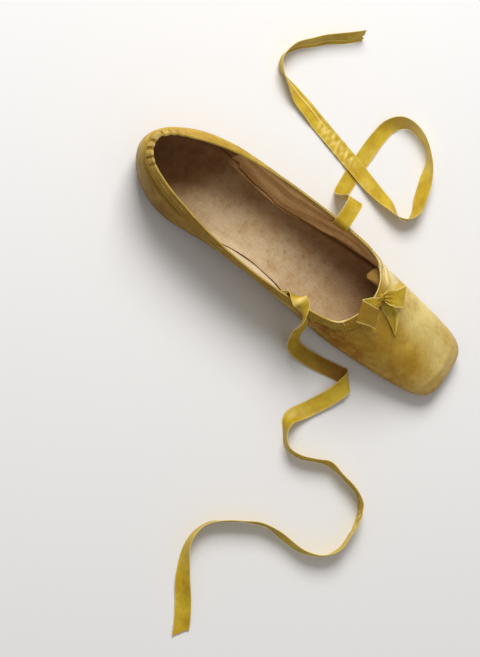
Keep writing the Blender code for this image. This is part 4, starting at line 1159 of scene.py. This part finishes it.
def add_throat_tab(finish):
    """Corner of the vamp lining that shows under the throat's left corner."""
    a = np.array(THROAT_TAB_TOP, float)
    b = np.array(THROAT_TAB_FOOT, float)
    t = np.linspace(0.0, 1.0, 21)
    top = np.stack([np.interp(t, np.linspace(0, 1, len(a)), a[:, c]) for c in range(3)], axis=1)
    foot = np.stack([np.interp(t, np.linspace(0, 1, len(b)), b[:, c]) for c in range(3)], axis=1)
    share = np.linspace(0.0, 1.0, 15)[None, :, None]
    grid = top[:, None] + (foot - top)[:, None] * share
    grid[..., 2] += 0.5 * np.sin(math.pi * share[..., 0]) + 0.2 * np.sin(9.0 * t)[:, None]
    # Darker towards its foot.
    soil_and_shade = np.broadcast_to(0.2 + 0.3 * share[..., 0], grid.shape[:2])
    thin = grid - np.array([0.0, 0.0, 0.35])
    return sheet_piece("lining_throat", grid, thin, False, [finish], values={"soil_and_shade": soil_and_shade})


def tape_profile(slack):
    """Depths and offsets of the tape's outer and inner faces round the edge, outer leg first."""
    turn = np.linspace(0.0, math.pi, 9)
    outer_off = 0.5 + slack
    inner_off = -0.6 * UPPER_THICK - 0.5 - slack
    middle, reach = (outer_off + inner_off) / 2.0, (outer_off - inner_off) / 2.0
    legs = np.linspace(1.0, 0.0, 9)
    depth = np.r_[0.5 + (TAPE_OUTSIDE - 0.5) * legs[:-1], 0.5 - reach * 0.8 * np.sin(turn),
                  0.5 + (TAPE_INSIDE - 0.5) * legs[::-1][1:]]
    off = np.r_[np.full(8, outer_off), middle + reach * np.cos(turn), np.full(8, inner_off)]
    thin = reach - 0.35
    back_depth = np.r_[0.5 + (TAPE_OUTSIDE - 0.5) * legs[:-1], 0.5 - thin * 0.8 * np.sin(turn),
                       0.5 + (TAPE_INSIDE - 0.5) * legs[::-1][1:]]
    back_off = np.r_[np.full(8, outer_off - 0.35), middle + thin * np.cos(turn), np.full(8, inner_off + 0.35)]
    return depth, off, back_depth, back_off


def heel_gathers():
    """Round the edge: distance from the heel's back, the slits between gathers and the swell of the tape."""
    round_heel = np.where(np.arange(2 * RIBS) < RIBS, ROUND, ROUND - ROUND[-1] - 1.0)
    slit = np.zeros(2 * RIBS)
    for place, depth, width in HEEL_SLITS:
        slit += depth * bell(round_heel - place, width)
    return round_heel, slit, 0.8 * bell(round_heel, 17.0) - 1.45 * slit


def corner_slack():
    """How far the tape stands off further at the throat's corners."""
    return 0.3 * bell(OUTER[:, -1, 0] - FRAME_X - CORNER_OPENING_X, 5.0)


def add_tape(finish):
    """Ribbed tape folded over the edge of the opening, drawn up in little pillows at the heel."""
    x, y = OUTER[:, -1, 0], OUTER[:, -1, 1]
    round_heel, slit, pillow = heel_gathers()
    slack = corner_slack()
    profiles = [tape_profile(v) for v in slack]
    depth, off, back_depth, back_off = [np.array([p[k] for p in profiles]) for k in range(4)]
    wobble = np.sin(round_heel / 2.9 + 1.3 * np.sin(round_heel / 11.0))[:, None]
    outside = off > -0.3
    near_fold = 1.0 - smooth(3.6, 5.6, depth)
    swell = pillow[:, None] * np.where(outside, near_fold, 0.6)
    depth = depth + np.where(depth > 3.0, 0.12 * wobble, 0.0)
    depth = depth + 0.9 * slit[:, None] * np.where(outside, 0.0, 1.0) * (depth < 1.0)
    off = off + np.where(outside, swell, -swell * 0.5) + 0.05 * wobble * outside
    flare = 0.9 * smooth(2.0, TAPE_INSIDE, depth) * ~outside
    front = from_edge(np.arange(2 * RIBS), depth, off - flare)
    deeper = np.where(depth > 3.0, depth, np.maximum(back_depth, depth - 0.4))
    back = from_edge(np.arange(2 * RIBS), deeper,
                     back_off + np.where(outside, swell, -swell * 0.5) - flare)
    across = run_length(front[RIBS // 2])
    side = np.linspace(0.0, 1.0, depth.shape[1])
    # Painted shade on the near side, with darker lines along the tape, in the slits between the heel's gathers and
    # along the outer leg's lower edge.
    right = smooth(-8.0, -22.0, y)[:, None]
    lines = 0.4 * bell(side - 0.1, 0.06) + 0.5 * bell(side - 0.27, 0.025) + 0.4 * bell(side - 0.39, 0.02)
    wear_and_shade = right * (0.35 + 1.2 * lines)[None] * (1.0 - 0.5 * smooth(-10.0, 30.0, x))[:, None]
    wear_and_shade = wear_and_shade + np.minimum(slit[:, None], 1.0) * 0.8 * near_fold + 0.25 * bell(side - 0.02, 0.03)[None]
    # Painted highlight along the fold's crest and on the heel's pillows, and painted light on the inner leg at the
    # heel.
    pale = 0.9 * bell(side - 0.5, 0.035)[None] + 0.5 * np.clip(pillow, 0.0, 1.0)[:, None] * near_fold
    pale = pale + 0.35 * (side > 0.6)[None] * (1.0 - smooth(-96.0, -60.0, x))[:, None]
    # At the throat: a painted shade line in the crease beside the edge, painted highlight near the fold and a strong
    # painted highlight at the left corner.
    throat = smooth(30.0, 38.0, x)[:, None]
    wear_and_shade = wear_and_shade + 0.8 * throat * bell(side - 0.36, 0.03)[None]
    pale = pale + throat * bell(side - 0.47, 0.05)[None] + 1.6 * bell(near_line(front, THROAT_SHINE), 5.0)
    piece = sheet_piece("topline_tape", front, back, True, [finish], across=across,
                        values={"wear_and_shade": np.clip(wear_and_shade, 0.0, 1.0), "pale": np.clip(pale, 0.0, 2.0)})
    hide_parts("topline_binding")
    return piece


def add_sole(leather):
    """Outsole: rounded edge, a narrow closed channel near the edge, and heel and tread darkened by wear."""
    girth = full_loop(cut_evenly(GIRTH_CURVE, CORNER_GIRTH_X, RIBS))
    away = outward(girth)
    base = column(FOOT, BASE, girth[:, 0])
    inset = column(FOOT, INSET, girth[:, 0])

    def loop(extra, lift):
        """Loop parallel to the sole's edge, moved in by extra and up by lift."""
        points = np.c_[girth, base + lift] - away * (inset + extra)[:, None]
        points[:, 0] += FRAME_X
        return points

    section = [(4.2, 0.0), (3.5, 0.05), (3.1, 0.3), (2.7, 0.05), (2.0, 0.0), (1.1, 0.06), (0.45, 0.35),
               (0.08, 0.9), (0.0, 1.5), (0.05, 2.3), (0.4, 2.9), (1.0, 3.0)]
    rows = [loop(e, h) for e, h in section]
    for first, order in ((rows[0], -1), (rows[-1], 1)):
        inner = []
        for share in (0.85, 0.68, 0.5, 0.32, 0.15, 0.02):
            inner.append(first * np.array([1.0, share, 1.0]))
        rows = inner[::-1] + rows if order < 0 else rows + inner
    grid = np.stack(rows, axis=1)
    m, n = grid.shape[:2]
    faces = []
    for i in range(m):
        k = (i + 1) % m
        faces += [[i * n + j, k * n + j, k * n + j + 1, i * n + j + 1] for j in range(n - 1)]
    for j, turn in ((0, -1), (n - 1, 1)):
        for i in range(RIBS):
            a, b, c, d = i, i + 1, (m - i - 1) % m, (m - i) % m
            ring = [v * n + j for v in (a, b, c, d)]
            faces.append(list(dict.fromkeys(ring))[::turn])
    x, y, z = np.moveaxis(grid, -1, 0)
    tread = bell(np.hypot((x - 62.0) / 38.0, y / 20.0), 0.8) + bell(np.hypot((x + 88.0) / 24.0, y / 20.0), 0.8)
    edge = 0.5 * smooth(0.3, 1.5, z - column(FOOT, BASE, x - FRAME_X))
    piece = link_mesh("outsole", grid.reshape(-1, 3), faces, [leather],
                      values={"wear_and_shade": np.clip(tread + edge, 0.0, 1.0)})
    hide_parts("sole")
    return piece


def stretch(s, span, soft):
    """Share of one stretch of a ribbon: 1 from its first to its last millimetre, fading outside it."""
    return smooth(span[0] - soft, span[0], s) * (1.0 - smooth(span[1], span[1] + soft, s))


def crumpled(seed, curl, waves, height, patch, slit):
    """Shape of a used ribbon: curled edges, gentle waves, a closely rumpled stretch and a folded line."""
    def shape(s, w):
        close = 0.2 * stretch(s, patch, 5.0) * (ripple(s, 3.0 * w, 7, 5.5) + ripple(s, 5.0 * w, 8, 9.0))
        line = 0.35 * stretch(s, slit, 8.0) * bell(w - SLIT_SIDE, 0.15)
        return curl * (w ** 2 - 0.4) + height * ripple(s, w, seed, waves) + close - line
    return shape


def add_tie(name, rows, seed, cut, fray, patch, dull, slit, sheen, silk):
    """Ribbon tie from its stitched end to its cut end."""
    samples = follow(rows, 0.9)
    shape = crumpled(seed, 0.3, 26.0, 0.32, patch, slit)
    ragged = np.random.default_rng(seed).uniform(0.0, fray, 15)[None]
    grid = ribbon_grid(samples, TIE_WIDTH / 2.0, 14, shape, cut, ragged)
    grid[..., 2] = np.maximum(grid[..., 2], 0.35)
    s = run_length(samples[:, :3])[:, None]
    w = np.linspace(-1.0, 1.0, grid.shape[1])[None]
    # Painted shade on the near tie's strip up to its bend, and at the curl by the root.
    brown = 0.1 + 0.75 * smooth(*dull, s) * (1.0 - smooth(dull[1], dull[1] + 1.5, s))
    brown = np.maximum(brown, 0.5 * (1.0 - smooth(9.0, 13.0, s)))
    # A painted shade line beside the folded line.
    line = 0.6 * stretch(s, slit, 8.0) * bell(w - SLIT_SIDE - 0.14, 0.08)
    # Painted highlights: a pale line beside the folded line and a band of sheen across the ribbon.
    light = 0.9 * stretch(s, slit, 8.0) * bell(w - SLIT_SIDE, 0.08) + 0.7 * bell(s - sheen[0], sheen[1])
    spots = np.clip(0.35 + 0.5 * ripple(s, 5.0 * w, 9, 4.0) + 0.4 * ripple(s, 3.0 * w, 10, 7.0), 0.0, 1.0)
    # Painted glints over the rumpled stretch.
    light = np.maximum(light, 0.75 * stretch(s, patch, 8.0) * bell(w + 0.1, 0.6) * spots)
    piece = ribbon_piece(name, grid, TIE_THICK, silk, floor=0.12, deep=np.maximum(brown, line), highlight=light)
    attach(piece, "root")
    middle = grid.mean(axis=1) * MM
    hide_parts(name.replace("ribbon_", "tie_"))
    return piece


def gathered(ends, folds, height, seed):
    """Shape of a bow ribbon: pleats that run out of the knot and soft waves beyond them."""
    def shape(s, w):
        away = np.minimum(s, np.max(s) - s) if ends == 2 else s
        pleat = np.cos(folds * math.pi * w + 0.6) * np.exp(-away / 3.2)
        return height * pleat + 0.2 * ripple(s, w, seed, 17.0) * smooth(1.0, 7.0, away)
    return shape


def folded_tail(s, w):
    """Shape of the long tail: a valley along its left side and a lifted right edge."""
    valley = -0.9 * bell(w - 0.35, 0.22) + 0.5 * smooth(0.5, 1.0, w)
    return valley * smooth(0.5, 5.0, s) + 0.5 * np.cos(2.0 * math.pi * w) * np.exp(-s / 2.5)


def drawn_in(rows, first, last):
    """Rows of a bow loop, run on into the knot at both ends, where the pleats draw them narrow."""
    return [first] + rows + ([last] if last else [])


def add_bow(silk):
    """Bow on the throat: two loops, a folded tail, a short tail and the knot that draws them in."""
    parts = [
        ("near_loop", drawn_in(BOW_NEAR_LOOP, (51.0, 1.6, 47.3, 1.0, -1.8, -0.8), None),
         gathered(1, 2.6, 0.4, 21)),
        ("far_loop", drawn_in(BOW_FAR_LOOP, (52.4, 4.7, 46.3, 1.3, -1.5, -0.4), (51.6, 4.0, 48.3, 1.5, -1.7, -0.5)),
         gathered(2, 3.6, 0.5, 22)),
        ("tail", BOW_TAIL, folded_tail),
        ("short_tail", BOW_SHORT_TAIL, gathered(1, 2.0, 0.3, 24)),
    ]
    made = []
    for name, rows, shape in parts:
        samples = follow(rows, 0.35)
        grid = ribbon_grid(samples, None, 26, shape)
        s = run_length(samples[:, :3])[:, None]
        w = np.linspace(-1.0, 1.0, grid.shape[1])[None]
        # Painted shade near the knot.
        root = 1.0 - smooth(3.0, 8.0, np.minimum(s, np.max(s) - s) if name == "far_loop" else s)
        shaded, highlight = 0.12 + 0.3 * root, 0.0
        if name == "near_loop":
            # Painted shade on the near loop's front layer.
            shaded = np.maximum(shaded, 0.64 * smooth(13.0, 16.0, s))
        elif name == "tail":
            # Painted highlight on the tail's right strip.
            highlight = 0.4 * smooth(0.45, 0.6, w) * smooth(5.0, 10.0, s)
        elif name == "short_tail":
            # Painted shade over the short tail, and a painted highlight.
            shaded, highlight = 0.35, 0.3
        piece = ribbon_piece("bow_ribbon_" + name, grid, BOW_THICK, silk, deep=shaded, edge=0.9, highlight=highlight)
        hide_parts("bow_" + name)
        made.append(piece)
    made.append(add_knot(silk))
    return made


def add_knot(silk):
    """Knot of the bow: the ribbon drawn tight over the middle in a cluster of uneven pleats."""
    middle = np.array(BOW_KNOT[0]) + np.array([FRAME_X, 0.0, 0.0])
    axes = np.array(BOW_KNOT[1:], float)
    rows, deep = [], []
    for a in np.linspace(-0.97, 0.97, 33):
        angle = np.linspace(0.0, 2 * math.pi, 96, endpoint=False)
        swell = (1.0 - abs(a) ** 4) ** 0.5
        ridge = np.abs(np.sin(angle * 3.5 + 0.9 * math.sin(2.2 * a))) ** 0.7
        pleat = 0.8 + 0.34 * ridge + 0.1 * np.cos(angle * 2.0 + 4.0 * a)
        pinch = 0.85 + 0.4 * abs(a) ** 2
        ring = np.cos(angle)[:, None] * axes[1] + np.sin(angle)[:, None] * axes[2] * 0.8
        rows.append(middle + axes[0] * a * 1.35 + ring * (swell * pleat * pinch)[:, None])
        # Painted shade in the grooves between the pleats.
        deep.append(0.15 + 0.6 * (1.0 - smooth(0.2, 0.8, ridge)))
    grid = np.stack(rows, axis=1)
    m, n = grid.shape[:2]
    faces = [[i * n + j, ((i + 1) % m) * n + j, ((i + 1) % m) * n + j + 1, i * n + j + 1]
             for i in range(m) for j in range(n - 1)]
    faces.append([i * n for i in range(m)][::-1])
    faces.append([i * n + n - 1 for i in range(m)])
    values = {"deep": np.stack(deep, axis=1)}
    piece = link_mesh("bow_ribbon_knot", grid.reshape(-1, 3), faces, [silk], values=values)
    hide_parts("bow_knot")
    return piece


def add_floor():
    """Pale floor, far larger than the slipper."""
    mesh = bpy.data.meshes.new("floor")
    mesh.from_pydata([(-3, -3, 0), (3, -3, 0), (3, 3, 0), (-3, 3, 0)], [], [(0, 1, 2, 3)])
    mesh.materials.append(paint_floor())
    item = bpy.data.objects.new("floor", mesh)
    bpy.context.scene.collection.objects.link(item)


def build():
    set_camera()
    set_light()
    silk = paint_ribbon()
    satin = paint_satin()
    inside = paint_lining("lining_cotton", tone(230, 194, 142), tone(210, 170, 116), tone(122, 78, 38))
    # Paler copy of the lining for the right wall, which faces the softbox: painted light.
    near_inside = paint_lining("lining_lit_copy", tone(226, 208, 178), tone(208, 187, 152), tone(112, 76, 42))
    tab = paint_lining("lining_vamp", tone(164, 128, 62), tone(148, 114, 40), tone(120, 84, 40))
    sock = paint_sock()
    tape = paint_tape()
    leather = paint_sole()
    thread = paint_thread("thread_silk", tone(206, 172, 84), tone(176, 140, 58))
    pink_thread = paint_thread("thread_faded", tone(218, 172, 126), tone(176, 116, 74))
    loose_thread = paint_thread("thread_loose", tone(232, 206, 140), tone(206, 172, 98))

    pieces = {
        "mustard_satin": [add_upper(satin, inside)],
        "sock_leather": [add_sock(sock, leather), add_far_lining(inside), add_near_lining(near_inside),
                         add_throat_tab(tab)],
        "binding_tape": [add_tape(tape)],
        "sole_leather": [add_sole(leather)],
        "ribbon_silk": add_bow(silk),
    }
    around = np.arange(2 * RIBS)
    slack = corner_slack()[:, None]
    low = from_edge(around, [TAPE_OUTSIDE - 0.7], 0.52 + slack)[:, 0]
    high = from_edge(around, [2.5], 0.56 + slack + heel_gathers()[2][:, None])[:, 0]
    loose = [follow(route, 0.3) for route in LOOSE_THREADS]
    pieces["binding_tape"] += [
        thread_piece("loose_threads", loose, 0.13, loose_thread),
        stitch_row("tape_hem_stitches", low, True, 2.1, 1.4, 0.3, 0.2, thread),
        stitch_row("tape_channel_stitches", high, True, 1.7, 1.0, 0.42, 0.35, pink_thread),
    ]
    for slot, group in pieces.items():
        for piece in group:
            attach(piece, "root")
    add_tie("ribbon_near", TIE_NEAR, 31, 5.0, 0.5, (232.0, 250.0), (50.0, 106.0), (-20.0, -16.0),
            (14.5, 2.0), silk)
    add_tie("ribbon_far", TIE_FAR, 32, -5.0, 3.2, (264.0, 290.0), (-20.0, -16.0), (292.0, 386.0),
            (152.0, 18.0), silk)
    add_floor()


STITCHES = stitch_tree()
build()
